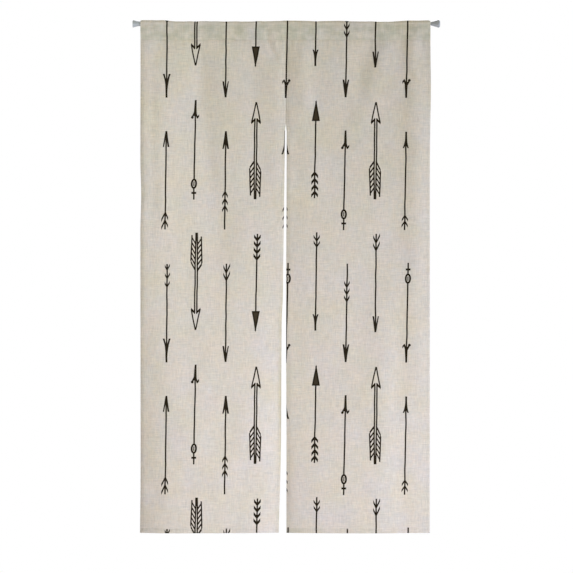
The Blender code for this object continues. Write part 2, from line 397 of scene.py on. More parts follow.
def uneven(across, down, wide, tall, seed):
    """Random heights from -1 to 1 on a net with meshes this wide and tall, and a soft step
    between each two of its knots, across and down."""
    knots = np.random.default_rng(seed).uniform(-1, 1, (NET, NET))
    x, y = np.broadcast_arrays(across / wide + NET, down / tall + NET)
    left, top = np.floor(x).astype(int), np.floor(y).astype(int)
    right_share, low_share = ease(0, 1, x - left), ease(0, 1, y - top)
    upper = knots[top % NET, left % NET] * (1 - right_share)
    upper = upper + knots[top % NET, (left + 1) % NET] * right_share
    lower = knots[(top + 1) % NET, left % NET] * (1 - right_share)
    lower = lower + knots[(top + 1) % NET, (left + 1) % NET] * right_share
    return upper * (1 - low_share) + lower * low_share


sample = uneven(np.linspace(0, 1, 200), 0.3, 0.09, 0.09, 1)
print("unevenness from", round(float(sample.min()), 2), "to", round(float(sample.max()), 2))

# %% [markdown]
# ## How the cloth hangs
# Below the pocket each panel bows gently towards the viewer, sways at its hem and turns back at its
# side edges. Long soft folds run down it. On top of that come the things that sewing does: shallow
# gathers where the pocket is drawn on the rod, puckers along every line of stitches, and a groove
# where the thread pulls the layers together.


# %% Where a point lies along the rod
def across_at(panel, share, depth):
    """The left edge's place, plus the share of the way to the right edge, at this depth."""
    left, right = (through(EDGES[panel][side], depth) for side in ("left", "right"))
    return left + share * (right - left)


def width_of(panel):
    """The panel's width at the rod."""
    return float(across_at(panel, 1, 0) - across_at(panel, 0, 0))


def from_edge(panel, share):
    """How far in from the nearer side edge a point lies."""
    return np.minimum(share, 1 - share) * width_of(panel)


print("panel widths:", {panel: round(width_of(panel), 4) for panel in EDGES})


# %% The folds
def fold_height(fold, panel, share, depth):
    """A bell across the panel, whose height rises with depth from start to strongest and dies
    out by its end."""
    off = (share - fold.at - fold.lean * depth) * width_of(panel)
    rising = ease(fold.start, fold.strongest, depth)
    dying = 1 - ease(fold.strongest, fold.end, depth)
    return fold.height * rising * dying * bell(off, fold.reach)


def hanging(panel, share, depth):
    """Y of the front face as the solid has it: the edges' curl, less the bow and the hem's sway,
    all growing below the stitch line, less the folds."""
    hang = HANGS[panel]
    down = depth / DROP
    bow = (hang.bow_top + (hang.bow_hem - hang.bow_top) * down) * 4 * share * (1 - share)
    sway = hang.sway * down**2 * np.sin(2 * math.pi * (share + hang.shift))
    curl = CURL * np.exp(-from_edge(panel, share) / CURL_REACH)
    folds = sum(fold_height(fold, panel, share, depth) for fold in FOLDS[panel])
    return CLOTH_TOP + ease(POCKET_STITCH, SLIT_TOP, depth) * (curl - bow - sway) - folds


# %% The marks of sewing
SIDE_STITCH = 0.0075  # from the side edge to its line of stitches
HEM_STITCH = 0.0115  # from the lower edge to its line of stitches
GROOVE, GROOVE_REACH = 0.00022, 0.0008  # how deep and how near the thread pulls the cloth in
POCKET_GROOVE, POCKET_GROOVE_REACH = 0.0007, 0.0040
PUCKER, PUCKER_REACH = 0.00042, 0.009
GATHER, GATHER_REACH = 0.0011, 0.075
ROLLS = {"panel_left": (0.0013, 0.0009), "panel_right": (0.0006, 0.0002)}  # left edge and right
ROLL_REACH = 0.0045
SEEDS = {"panel_left": 11, "panel_right": 47}

# Layers of unevenness: how high each is, how wide and tall its meshes are, and what is added to
# the panel's seed.
Ripples = namedtuple("Ripples", "height wide tall seed")
GATHERS = [Ripples(0.6, 0.011, 0.060, 0), Ripples(0.8, 0.027, 0.110, 1)]
SIDE_PUCKERS = [Ripples(PUCKER, 0.030, 0.0075, 2)]
HEM_PUCKERS = [Ripples(PUCKER, 0.0085, 0.030, 3)]
SLOW = [Ripples(0.0017, 0.085, 0.150, 4), Ripples(0.0007, 0.032, 0.055, 5)]

# How the loose edges turn lower down: which side of the panel (0 is left), how far back at the
# edge (forward is negative), how far in it reaches, and the depths where it starts and ends.
Turn = namedtuple("Turn", "side back reach start end")
TURNS = {
    "panel_left": [
        Turn(0, 0.0022, 0.012, 1.10, 1.80),
        Turn(1, 0.0012, 0.014, 0.95, 1.40),
    ],
    "panel_right": [
        Turn(0, -0.0018, 0.012, 0.75, 1.35),
    ],
}
TURN_EASE = 0.15  # metres of depth over which a turn grows, and over which it ends

# The heading's plain creases: where each lies along the rod, how far across it moves per metre
# down, its half width, and how far it draws the cloth back (a ridge is negative).
Crease = namedtuple("Crease", "across lean reach back")
CREASES = [
    Crease(0.204, 0.00, 0.012, 0.0014),
    Crease(0.372, 0.46, 0.010, 0.0024),
    Crease(SEAM_MIDDLE, 0.00, 0.011, 0.0016),
    Crease(0.778, 0.00, 0.020, 0.0010),
    Crease(0.814, 0.00, 0.020, -0.0018),
]


def rippled(panel, layers, across, depth):
    """These layers of unevenness, added up."""
    return sum(
        layer.height * uneven(across, depth, layer.wide, layer.tall, SEEDS[panel] + layer.seed)
        for layer in layers
    )


def gathers(panel, across, depth):
    """Narrow upright ripples, two widths of them, and the creases, strongest at the stitch line
    and spent a hand's width below it."""
    drawn = GATHER * rippled(panel, GATHERS, across, depth)
    for crease in CREASES:
        off = across - crease.across - crease.lean * depth
        drawn = drawn + crease.back * bell(off, crease.reach)
    return drawn * bell(np.maximum(depth - POCKET_STITCH, 0), GATHER_REACH)


def turned_edges(panel, share, depth):
    """How far the panel's loose edges turn back (+), growing and ending softly."""
    total = 0 * share * depth
    for turn in TURNS[panel]:
        to_side = np.abs(share - turn.side) * width_of(panel)
        grows = ease(turn.start, turn.start + TURN_EASE, depth)
        ends = 1 - ease(turn.end - TURN_EASE, turn.end, depth)
        total = total + turn.back * np.exp(-to_side / turn.reach) * grows * ends
    return total


def sewn(panel, share, depth):
    """How far sewing moves the front face back (+): a bell-shaped groove along each line of
    stitches, puckers across it, the rolled edges, and a slow unevenness everywhere."""
    across = across_at(panel, share, depth)
    to_edge = from_edge(panel, share)
    from_side = to_edge - SIDE_STITCH
    from_low = DROP - depth - HEM_STITCH
    from_pocket = depth - POCKET_STITCH
    groove = GROOVE * sum(bell(off, GROOVE_REACH) for off in (from_side, from_low, from_pocket))
    drawn_in = POCKET_GROOVE * bell(from_pocket, POCKET_GROOVE_REACH)
    side_puckers = rippled(panel, SIDE_PUCKERS, across, depth) * bell(from_side, PUCKER_REACH)
    hem_puckers = rippled(panel, HEM_PUCKERS, across, depth) * bell(from_low, PUCKER_REACH)
    slow = rippled(panel, SLOW, across, depth) * ease(POCKET_STITCH, 3 * POCKET_STITCH, depth)
    roll = np.where(share < 0.5, *ROLLS[panel]) * np.exp(-to_edge / ROLL_REACH)
    roll = roll * ease(POCKET_STITCH, 2 * POCKET_STITCH, depth)
    roll = roll + turned_edges(panel, share, depth)
    pulled = groove + drawn_in + side_puckers + hem_puckers
    return pulled + slow + roll + gathers(panel, across, depth)


def front_face(panel, share, depth):
    """Y of the printed face that the viewer sees: how it hangs, plus the marks of sewing."""
    return hanging(panel, share, depth) + sewn(panel, share, depth)


middle = front_face("panel_left", np.array([0.5]), np.array([1.0]))
print("front face at the left panel's middle, y in mm:", np.round(middle * 1000, 2))

# %% [markdown]
# ## The cloth as one grid
# Real cloth is one sheet that turns back on itself at each hem, so the grid does the same. Its
# columns start at the raw edge inside the left hem, come round the fold, cross the front and go
# round the right fold to the other raw edge. Its rows start inside the bottom hem, climb the front,
# go over the rod, down the back and under the stitch line. The grid is the printed face, and a
# Solidify modifier gives it thickness on the other side.

# %% Lay out the columns
# Extra columns and rows in the hems, counted from the fold, closest together at the stitches.
HEM_STOPS = np.array([0.0015, 0.0040, 0.0066, 0.0075, 0.0084])
BOTTOM_STOPS = np.array([0.0015, 0.0050, 0.0106, 0.0115, 0.0124])
PAST_HEM = 0.002  # from a hem's end to the first of the even columns or rows
FOLD_STEPS = 4
FRONT_COLUMNS = 96
Columns = namedtuple("Columns", "share lift past")


def turned_stops(stops, length):
    """The raw edge first, then the stops in towards the fold."""
    return np.concatenate([[length], stops[::-1]])


def columns_of(panel):
    """Each column's share of the way across, how far its printed face lies behind the front one,
    and how far round the fold it is. A fold is half a turn: its sine leaves the edge, and its
    cosine is the way from the front face to the turned one."""
    width = width_of(panel)
    radius = DOUBLE / 2
    turned = turned_stops(HEM_STOPS, SIDE_HEM)
    angles = np.linspace(math.pi, 0, FOLD_STEPS + 1)
    fold_edge = radius * (1 - np.sin(angles))
    fold_lift = radius * (1 - np.cos(angles))
    fold_past = radius * np.maximum(angles - math.pi / 2, 0)
    first = SIDE_HEM + PAST_HEM
    inner = np.linspace(first, width - first, FRONT_COLUMNS)
    edge = np.concatenate([turned, fold_edge, HEM_STOPS, [SIDE_HEM]])
    lift = np.concatenate([np.full(len(turned), DOUBLE), fold_lift, np.zeros(len(HEM_STOPS) + 1)])
    past = np.concatenate([turned, fold_past, np.zeros(len(HEM_STOPS) + 1)])
    share = np.concatenate([edge, inner, width - edge[::-1]]) / width
    lift = np.concatenate([lift, np.zeros(len(inner)), lift[::-1]])
    past = np.concatenate([-past, np.zeros(len(inner)), past[::-1]])
    return Columns(share[None, :], lift[None, :], past[None, :])


print("columns:", columns_of("panel_left").share.shape[1])


# %% Where cloth lies double
HEM_EASE = 0.003  # of the soft step


def in_side_hem(panel, share):
    """1 inside a side hem, and 0 past a soft step 3 mm further in."""
    return 1 - ease(SIDE_HEM, SIDE_HEM + HEM_EASE, from_edge(panel, share))


def pile(panel, share):
    """From the front printed face to the back one of cloth that is turned over once, with the
    side hems' own layers between them where they meet."""
    return DOUBLE + (DOUBLE + LAYER_GAP) * in_side_hem(panel, share)


# %% The sheet and its bottom hem
NO_TURN = 0.001  # a sine that counts as none


def across_cloth(panel, columns, x, depth):
    """Where a point lies across the flat cloth: at its place along the rod, or for the columns
    past a fold, at the edge's place and the way gone round the fold."""
    edge = across_at(panel, np.round(columns.share), depth)
    return np.where(columns.past == 0, x, edge + columns.past)


def sheet_part(panel, columns, depth, turn):
    """Rows of the hanging sheet. Turn is 0 on the front, half a turn on the hem's turned-up layer,
    and its cosine carries the face from the one to the other through the fold."""
    share, lift, _ = columns
    behind = pile(panel, share) * (1 - np.cos(turn)) / 2 + lift * np.cos(turn)
    in_fold = np.abs(np.sin(turn)) > NO_TURN
    fold_rise = pile(panel, share) / 2 * (1 - np.sin(turn)) * in_fold
    x = across_at(panel, share, depth)
    y = front_face(panel, share, depth) + behind
    u = across_cloth(panel, columns, x, depth)
    v = depth + 2 * (DROP - depth) * (turn > math.pi / 2)
    return np.stack(np.broadcast_arrays(x, y, fold_rise - depth, u, v), axis=-1)


# %% The rod pocket
CLOSEST = 0.0016  # how far a ripple may reach in towards the rod
HEM_CLOSER = 0.6  # the share of that which the hems' layers take up
TOP_RIPPLE = 0.4  # the share of a ripple that shows in the top line


def pocket_part(panel, columns, rise, angle, side):
    """Rows of the pocket. Side is 1 in front, -1 behind and 0 over the rod. Rise goes from 0 at
    the stitch line to 1 at the rod's height, and the face swells with its sine. Over the rod it
    is an ellipse, as deep as the pocket and as high as the top line. The hems' turned layers lie
    inside the pocket."""
    share, lift, _ = columns
    stitched = front_face(panel, share, POCKET_STITCH)
    stitched = stitched + pile(panel, share) * (side < 0)
    depth = POCKET_STITCH * (1 - rise)
    x = across_at(panel, share, depth)
    slack = CLOSEST * (1 - HEM_CLOSER * in_side_hem(panel, share))
    ripple = np.minimum(gathers(panel, x, depth * side), slack)
    swell = np.sin(math.pi / 2 * rise)
    cos, sin = np.cos(angle), np.sin(angle)
    reach = POCKET_HALF_DEPTH - lift
    height = through(TOP_LINE, x) + TOP_RIPPLE * ripple * sin - lift
    standing = stitched * (1 - swell) - side * reach * swell
    standing = standing + side * lift * (1 - swell) + ripple * swell * side
    arching = -(reach - ripple * cos * np.abs(cos)) * cos
    y = np.where(side == 0, arching, standing)
    z = np.where(side == 0, height * sin, -depth)
    u = across_cloth(panel, columns, x, depth)
    over = math.pi * POCKET_HALF_DEPTH
    v = depth * side - angle * POCKET_HALF_DEPTH * (side == 0) - over * (side < 0)
    return np.stack(np.broadcast_arrays(x, y, z, u, v), axis=-1)


# %% Stack the rows
BODY_ROWS = 286
POCKET_ROWS = 12
OVER_ROWS = 14
FLAP_ROWS = 3
NEAR_STITCH = np.array([0.0030, 0.0016, 0.0008])  # rows on either side of the pocket's stitches


def down(values):
    """A row of numbers stood up as a column, to meet the grid's columns."""
    return np.asarray(values, float)[:, None]


def cloth_rows(panel):
    """Every row of the grid, from inside the bottom hem to the flap under the pocket's stitches,
    as points x, y, z and the cloth's own u, v."""
    columns = columns_of(panel)
    turned = DROP - turned_stops(BOTTOM_STOPS, BOTTOM_HEM)
    fold = np.linspace(math.pi, 0, FOLD_STEPS + 1)
    body_top = POCKET_STITCH + NEAR_STITCH[0]
    body = np.linspace(DROP - BOTTOM_HEM - PAST_HEM, body_top, BODY_ROWS)
    front = np.concatenate([DROP - BOTTOM_STOPS, [DROP - BOTTOM_HEM], body])
    front = np.concatenate([front, POCKET_STITCH + NEAR_STITCH[1:], [POCKET_STITCH]])
    near = NEAR_STITCH[::-1] / POCKET_STITCH
    rises = np.concatenate([near, np.linspace(near[-1], 1, POCKET_ROWS)[1:]])
    angles = np.linspace(0, math.pi, OVER_ROWS + 1)[1:-1]
    flap = np.linspace(POCKET_STITCH, POCKET_STITCH + POCKET_TURNING, FLAP_ROWS + 1)[1:]
    hung = sheet_part(panel, columns, down(flap), math.pi)
    # The flap's v runs on from that of the pocket's back.
    hung[..., 4] = -down(flap) - math.pi * POCKET_HALF_DEPTH
    rows = [
        sheet_part(panel, columns, down(turned), math.pi),
        sheet_part(panel, columns, DROP, down(fold)),
        sheet_part(panel, columns, down(front), 0),
        pocket_part(panel, columns, down(rises), 0, 1),
        pocket_part(panel, columns, 1, down(angles), 0),
        pocket_part(panel, columns, down([*rises[::-1], 0]), 0, -1),
        hung,
    ]
    return np.concatenate(rows)


grids = {panel: cloth_rows(panel) for panel in EDGES}
print("grid of each panel:", {panel: grid.shape[:2] for panel, grid in grids.items()})

# %% [markdown]
# Where cloth lies double it lets less of the bright room through, so the heading and the hems look
# a shade darker and greener than the single cloth. That light coming through is painted into the
# cloth's colour as shade: it is written on the mesh as an attribute that the material reads.


# %% Painted shade where cloth lies double
# Where each step of the painted shade starts and ends, from the line of stitches, the hem's end or
# the rod's top, and how much of the painted shade the hems have.
POCKET_STEP = (-0.0008, 0.0012)
BOTTOM_STEP = (-0.0015, 0.0005)
ROD_STEP = (-0.002, 0.008)
SIDE_SHADE = 0.2
BOTTOM_SHADE, BOTTOM_LEFT_SHADE, LEFT_POWER = 0.1, 0.8, 5


def painted_double_shade(panel, grid):
    """Painted shade for the light that doubled cloth holds back: 1 in the pocket, less in the hems
    and over the white rod, and 0 elsewhere, with a step at each line of stitches. The bottom
    hem's painted shade is stronger towards the left of each panel."""
    share = columns_of(panel).share
    v = grid[..., 4]
    rod_top = -math.pi * POCKET_HALF_DEPTH / 2
    pocket_shade = 1 - ease(*POCKET_STEP, v - POCKET_STITCH)
    pocket_shade = pocket_shade * ease(*ROD_STEP, np.abs(v - rod_top) + rod_top)
    hem_shade = ease(*BOTTOM_STEP, v - (DROP - BOTTOM_HEM))
    hem_shade = hem_shade * (BOTTOM_SHADE + BOTTOM_LEFT_SHADE * (1 - share) ** LEFT_POWER)
    return np.maximum(np.maximum(pocket_shade, hem_shade), SIDE_SHADE * in_side_hem(panel, share))


# %% Turn a grid into a mesh
def grid_mesh(name, points, u, v):
    """A quad between each four neighbours, wound so that it faces the way the columns and rows
    cross, with u and v as its UV map."""
    rows, count = points.shape[:2]
    corner = np.arange(rows * count).reshape(rows, count)
    quads = [corner[:-1, :-1], corner[:-1, 1:], corner[1:, 1:], corner[1:, :-1]]
    quads = np.stack(quads, axis=-1).reshape(-1, 4)
    mesh = bpy.data.meshes.new(name)
    mesh.from_pydata(points.reshape(-1, 3).tolist(), [], quads.tolist())
    layer = mesh.uv_layers.new(name="cloth")
    pairs = np.stack([u, v], axis=-1).reshape(-1, 2)[quads.ravel()]
    layer.data.foreach_set("uv", pairs.astype(np.float32).ravel())
    mesh.shade_smooth()
    return mesh


# %% Make the two cloths
cloths = {}
for panel, grid in grids.items():
    mesh = grid_mesh("cloth_" + panel, grid[..., :3], grid[..., 3], grid[..., 4])
    # The painted shade of doubled cloth, stored on each point for the material.
    backlight_shade = mesh.attributes.new("backlight_shade", "FLOAT", "POINT")
    backlight_shade.data.foreach_set("value", painted_double_shade(panel, grid).astype(np.float32).ravel())
    cloth = bpy.data.objects.new(panel.replace("panel", "cloth"), mesh)
    scene.collection.objects.link(cloth)
    thickness = cloth.modifiers.new("thickness", "SOLIDIFY")
    thickness.thickness = THREAD_SHEET
    thickness.offset = -1
    thickness.material_offset = 1
    thickness.material_offset_rim = 1
    cloths[panel] = cloth
print("cloths:", [cloth.name for cloth in cloths.values()])

# %% [markdown]
# ## The print
# The cloth carries a repeat of plain arrows in upright columns. Every second column starts higher,
# and arrows point up and down in turn. It is drawn the way a pattern cutter would chart it: a small
# table says which head and which tail each arrow has, and each head and tail is a few lines with
# real sizes in millimetres. In the shader, each shape is a distance, negative inside the ink. The
# smaller of two distances joins two shapes, and the larger keeps only what they share.

# %% The chart
COLUMN_PITCH = 87.6  # millimetres, as are all the print's sizes
FIRST_COLUMN = 97.7  # from the left foot's face to the first column
REPEAT = 387.4  # from the start of an arrow to the start of the next one below it
FIRST_TIP = 314.4  # from the rod's axis down to the tip of the first column's arrow
COLUMN_RISE = 90.0  # how much higher every second column starts
ARROW = 287.0  # tip to tail
TIP_ROOM = 20.0  # kept clear before a tip, so that a round end isn't cut off

HEADS = ["slim", "spear", "long", "small", "hooked", "outlined", "solid"]
TAILS = ["barbs", "short barbs", "sprig", "stick", "chevrons", "ring", "feather"]

# Each column's arrow that points up, and then the one below it that points down. The offs are how
# far the tip and the tail stand to the right of the column, and slip is how far on the arrow lies.
Arrow = namedtuple("Arrow", "head tail tip_off tail_off slip")
CHART = [
    Arrow("slim", "barbs", 1.2, -2.6, 1.0),
    Arrow("long", "sprig", 1.6, 3.5, -1.9),
    Arrow("hooked", "ring", -0.8, -6.8, -0.4),
    Arrow("outlined", "feather", -1.5, 2.2, 0),
    Arrow("spear", "stick", 0, -4, 1.2),
    Arrow("slim", "barbs", -0.9, 1.6, -0.7),
    Arrow("outlined", "feather", 1.2, -2.8, 2.6),
    Arrow("solid", "chevrons", -1.4, 4.4, -3.4),
    Arrow("long", "sprig", -1.3, -1.3, -0.9),
    Arrow("hooked", "ring", 0, 7, -2.6),
    Arrow("solid", "chevrons", 1.5, -3.8, -0.4),
    Arrow("small", "short barbs", -1, 3.4, 1.1),
    Arrow("hooked", "ring", 0, -6.3, -0.9),
    Arrow("spear", "stick", 0, 5.2, -0.7),
    Arrow("outlined", "feather", 1.5, -2, 3.1),
    Arrow("slim", "barbs", -0.9, 1.8, -3.4),
    Arrow("small", "short barbs", 2, -2.5, 2.9),
    Arrow("hooked", "ring", 2, 8, -2.3),
]
OFF_RANGE = 40.0  # what the whole of a ramp's channel, or of a fraction, stands for
SLIP_RANGE = 40.0
print("arrows in the chart:", len(CHART))


# %% Look an arrow up
def chart_ramp(tree, cell):
    """A ramp of flat steps, one for each arrow. Its red is the head's number, with the slip as a
    small fraction, its green the tail's number, and its blue and alpha how far the tip and the
    tail stand off the column."""
    place = add(tree, "Math ADD", cell, 0.5)
    place = add(tree, "Math DIVIDE", place, len(CHART))
    ramp = add(tree, "ValToRGB", place)
    stops = ramp.color_ramp
    stops.interpolation = "CONSTANT"
    while len(stops.elements) < len(CHART):
        stops.elements.new(0.99)
    for index, arrow in enumerate(CHART):
        stops.elements[index].position = index / len(CHART)
        head = (HEADS.index(arrow.head) + 0.5 + arrow.slip / SLIP_RANGE) / len(HEADS)
        tail = (TAILS.index(arrow.tail) + 0.5) / len(TAILS)
        offs = [0.5 + off / OFF_RANGE for off in (arrow.tip_off, arrow.tail_off)]
        stops.elements[index].color = (head, tail, *offs)
    return ramp


# %% Find the cell
Cell = namedtuple("Cell", "column points_down number off run")


def cell_of(tree, milli):
    """The column and the row are whole numbers of pitches, and what is left over is the place in
    the cell: off the column's middle, and down the run of the arrow. Rows point up and down in
    turn, and with the column that gives the cell's number in the chart."""
    parts = add(tree, "SeparateXYZ", milli)
    x, v = parts.outputs["X"], parts.outputs["Y"]
    from_first = add(tree, "Math SUBTRACT", x, FIRST_COLUMN - COLUMN_PITCH / 2)
    columns = add(tree, "Math DIVIDE", from_first, COLUMN_PITCH)
    column = add(tree, "Math FLOOR", columns)
    off = add(tree, "Math MULTIPLY_ADD", column, -COLUMN_PITCH, from_first)
    off = add(tree, "Math SUBTRACT", off, COLUMN_PITCH / 2)
    odd_column = add(tree, "Math FLOORED_MODULO", column, 2.0)
    start = add(tree, "Math MULTIPLY_ADD", odd_column, COLUMN_RISE, v)
    start = add(tree, "Math SUBTRACT", start, FIRST_TIP - TIP_ROOM)
    rows = add(tree, "Math DIVIDE", start, REPEAT)
    row = add(tree, "Math FLOOR", rows)
    run = add(tree, "Math MULTIPLY_ADD", row, -REPEAT, start)
    run = add(tree, "Math SUBTRACT", run, TIP_ROOM)
    points_down = add(tree, "Math FLOORED_MODULO", row, 2.0)
    number = add(tree, "Math MULTIPLY_ADD", column, 2.0, points_down)
    return Cell(column, points_down, number, off, run)


# %% Find the arrow's own coordinates
ArrowSpace = namedtuple("ArrowSpace", "side flank right along head tail off_cloth")
MIDDLE_COLUMN = 4.0  # of nine, counted from 0
WOBBLE = 1.3  # how far a hand-drawn line strays, side to side
WOBBLE_LENGTH = 60.0


def middle_line(tree, along, number, tip_off, tail_off):
    """How far the arrow's middle line stands off its column. It runs straight from the tip's off
    to the tail's, but for the wobble of the hand."""
    part_way = add(tree, "Math DIVIDE", along, ARROW)
    lean = add(tree, "Math SUBTRACT", tail_off, tip_off)
    stands = add(tree, "Math MULTIPLY_ADD", lean, part_way, tip_off)
    stands = add(tree, "Math MULTIPLY_ADD", stands, OFF_RANGE, -OFF_RANGE / 2)
    waves = add(tree, "Math MULTIPLY", along, 1 / WOBBLE_LENGTH)
    drawn = add(tree, "CombineXYZ", waves, number)
    look = {"Scale": 1.0, "Detail": 1.0}
    hand = add(tree, "TexNoise", drawn, sockets=look, noise_dimensions="2D")
    stray = add(tree, "Math MULTIPLY_ADD", hand, 2 * WOBBLE, -WOBBLE)
    return add(tree, "Math ADD", stands, stray)


def arrow_space(tree, milli):
    """Flank is the distance from the arrow's middle line, negative on its left as it points, side
    is the same without the sign, and along is the distance from its tip. An arrow that points down
    is turned round by half a turn."""
    cell = cell_of(tree, milli)
    sign = add(tree, "Math MULTIPLY_ADD", cell.points_down, -2.0, 1.0)
    along = add(tree, "Math MULTIPLY", cell.run, sign)
    along = add(tree, "Math MULTIPLY_ADD", cell.points_down, ARROW, along)
    ramp = chart_ramp(tree, cell.number)
    codes = add(tree, "SeparateColor", ramp)
    head, tail, tip_off = (codes.outputs[name] for name in ("Red", "Green", "Blue"))
    slip = add(tree, "Math MULTIPLY", head, float(len(HEADS)))
    slip = add(tree, "Math FRACT", slip)
    slip = add(tree, "Math MULTIPLY_ADD", slip, SLIP_RANGE, -SLIP_RANGE / 2)
    along = add(tree, "Math SUBTRACT", along, slip)
    middle = middle_line(tree, along, cell.number, tip_off, ramp.outputs["Alpha"])
    off = add(tree, "Math SUBTRACT", cell.off, middle)
    flank = add(tree, "Math MULTIPLY", off, sign)
    side = add(tree, "Math ABSOLUTE", off)
    right = add(tree, "Math SIGN", flank)
    off_cloth = add(tree, "Math SUBTRACT", cell.column, MIDDLE_COLUMN)
    off_cloth = add(tree, "Math ABSOLUTE", off_cloth)
    off_cloth = add(tree, "Math GREATER_THAN", off_cloth, MIDDLE_COLUMN + 0.5)
    return ArrowSpace(side, flank, right, along, head, tail, off_cloth)


# %% Strokes
STROKE = 2.25  # half the width of a drawn line
FAR = 2000.0  # out of reach of the ink


def union(tree, *shapes):
    """Inside any of the shapes."""
    return chain(tree, "MINIMUM", *shapes)


def overlap(tree, *shapes):
    """Inside all of the shapes."""
    return chain(tree, "MAXIMUM", *shapes)


def stroke(tree, off, half=STROKE):
    """How far a point is outside a line of this half width, from its distance to the middle."""
    size = add(tree, "Math ABSOLUTE", off)
    return add(tree, "Math SUBTRACT", size, half)


def within(tree, value, low, high):
    """How far a value is outside a span."""
    off = add(tree, "Math SUBTRACT", value, (low + high) / 2)
    return stroke(tree, off, (high - low) / 2)


def on_one_side(tree, space, way, shape):
    """The shape on the arrow's right (1) or on its left (-1), and out of reach on the other."""
    moved = add(tree, "Math MULTIPLY_ADD", space.right, -way * FAR, shape)
    return add(tree, "Math ADD", moved, FAR)


def slanted(tree, space, run, rise, start, half=STROKE):
    """Lines that leave the shaft on both sides: for each step of rise outwards they go run towards
    the tail. The distance is measured square to the line."""
    square = rise / math.hypot(run, rise)
    level = add(tree, "Math MULTIPLY_ADD", space.side, -run / rise, space.along)
    level = add(tree, "Math SUBTRACT", level, start)
    level = add(tree, "Math MULTIPLY", level, square)
    return stroke(tree, level, half)


# %% Rungs, for chevrons, barbs and feathers
RUNG_FIELDS = "first pitch count run rise half longer_left steeper_right"
Rungs = namedtuple("Rungs", RUNG_FIELDS, defaults=(0, 0))


def ladder(tree, space, rungs):
    """Equal slanted lines on both sides of the shaft. The distance along it is wrapped, so that
    each rung finds itself, and a span keeps the wanted number of them."""
    slope = rungs.run / rungs.rise
    level = add(tree, "Math MULTIPLY_ADD", space.side, -slope, space.along)
    level = add(tree, "Math MULTIPLY_ADD", space.flank, -rungs.steeper_right, level)
    low = rungs.first - rungs.pitch / 2
    wrapped = add(tree, "Math WRAP", level, low + rungs.pitch, low)
    off = add(tree, "Math SUBTRACT", wrapped, rungs.first)
    off = add(tree, "Math MULTIPLY", off, 1 / math.hypot(1, slope))
    ends = within(tree, level, low, low + rungs.pitch * rungs.count)
    reach = add(tree, "Math MULTIPLY_ADD", space.flank, rungs.longer_left, space.side)
    reach = add(tree, "Math SUBTRACT", reach, rungs.rise)
    return overlap(tree, stroke(tree, off, rungs.half), ends, reach)


# %% Heads
Barb = namedtuple("Barb", "length flare width notch stroke bolder_right", defaults=(0,))
BARBED = {
    "slim": Barb(46, 1.1, 9.6, notch=14, stroke=4.3, bolder_right=1.0),
    "spear": Barb(51, 1.2, 9.9, notch=31, stroke=4.5, bolder_right=0.7),
    "long": Barb(69, 2.9, 11.8, notch=46, stroke=5.8),
    "small": Barb(47, 3.2, 9.2, notch=35, stroke=4.6),
}
POINT = 2.8  # half the width of a barbed head at its tip
TIP_OVER = 1.0  # how far the ink runs past the tip


def barbed_head(tree, space, barb):
    """Its outer edge widens from the tip with a power of the distance, and a notch with straight
    sides opens between the barbs and the shaft. The right barb may be drawn bolder."""
    way = add(tree, "Math MAXIMUM", space.along, 0.0)
    way = add(tree, "Math DIVIDE", way, barb.length)
    way = add(tree, "Math POWER", way, barb.flare)
    edge = add(tree, "Math MULTIPLY_ADD", way, barb.width - POINT, POINT)
    outer = add(tree, "Math SUBTRACT", space.side, edge)
    opening = (barb.width - barb.stroke) / (barb.length - barb.notch)
    narrower = -barb.bolder_right / (barb.length - barb.notch)
    slope = add(tree, "Math MULTIPLY_ADD", space.right, narrower, opening)
    past_notch = add(tree, "Math SUBTRACT", space.along, barb.notch)
    inner = add(tree, "Math MULTIPLY", past_notch, slope)
    inner = add(tree, "Math SUBTRACT", inner, space.side)
    ends = within(tree, space.along, -TIP_OVER, barb.length)
    return overlap(tree, outer, inner, ends)


HOOKED_POINT = Barb(46, 1.4, 4.9, notch=44, stroke=4.1)
ARM_ROOT = 33.0
PLAIN_ARM = (17.0, 9.0)  # how far it runs back, and how far out
BENT_ARM = (18.0, 6.2)
BENT_END = (-7.0, 5.4)
BEAD_RADIUS, BEAD_IN = 4.0, 0.5  # and how far the bead's middle is in from the arm's end
ARM_HALF, HOOK_HALF = 2.6, 2.4
JOIN = 1.0  # how far the hook's two lines run into each other


def hooked_head(tree, space):
    """A slim point with an arm on each side: the left one runs straight back to a bead, and the
    right one runs back and then turns out and forwards, like a hook."""
    point = barbed_head(tree, space, HOOKED_POINT)
    arm = slanted(tree, space, *PLAIN_ARM, ARM_ROOT, ARM_HALF)
    arm = overlap(tree, arm, within(tree, space.side, 0, PLAIN_ARM[1]))
    out = add(tree, "Math SUBTRACT", space.side, PLAIN_ARM[1] - BEAD_IN)
    back = add(tree, "Math SUBTRACT", space.along, ARM_ROOT + PLAIN_ARM[0])
    bead = add(tree, "VectorMath LENGTH", add(tree, "CombineXYZ", out, back))
    bead = add(tree, "Math SUBTRACT", bead.outputs["Value"], BEAD_RADIUS)
    arm = on_one_side(tree, space, -1, union(tree, arm, bead))
    inner = slanted(tree, space, *BENT_ARM, ARM_ROOT, HOOK_HALF)
    inner = overlap(tree, inner, within(tree, space.side, 0, BENT_ARM[1] + JOIN))
    turn_back = BENT_ARM[1] * -BENT_END[0] / BENT_END[1]
    outer = slanted(tree, space, *BENT_END, ARM_ROOT + BENT_ARM[0] + turn_back, HOOK_HALF)
    tip_out = BENT_ARM[1] + BENT_END[1]
    outer = overlap(tree, outer, within(tree, space.side, BENT_ARM[1] - JOIN, tip_out))
    bend = add(tree, "Math SUBTRACT", space.along, ARM_ROOT + BENT_ARM[0] + HOOK_HALF)
    hook = overlap(tree, union(tree, inner, outer), bend)
    return union(tree, point, arm, on_one_side(tree, space, 1, hook))


OUTLINED_LENGTH, OUTLINED_WIDTH, OUTLINED_NOTCH = 63.0, 13.0, 50.0
OUTLINE_HALF, OUTLINE_STARTS = 2.0, 2.0
BACK_HALF, BACK_STARTS, BACK_OVER = 2.7, 2.0, 0.8


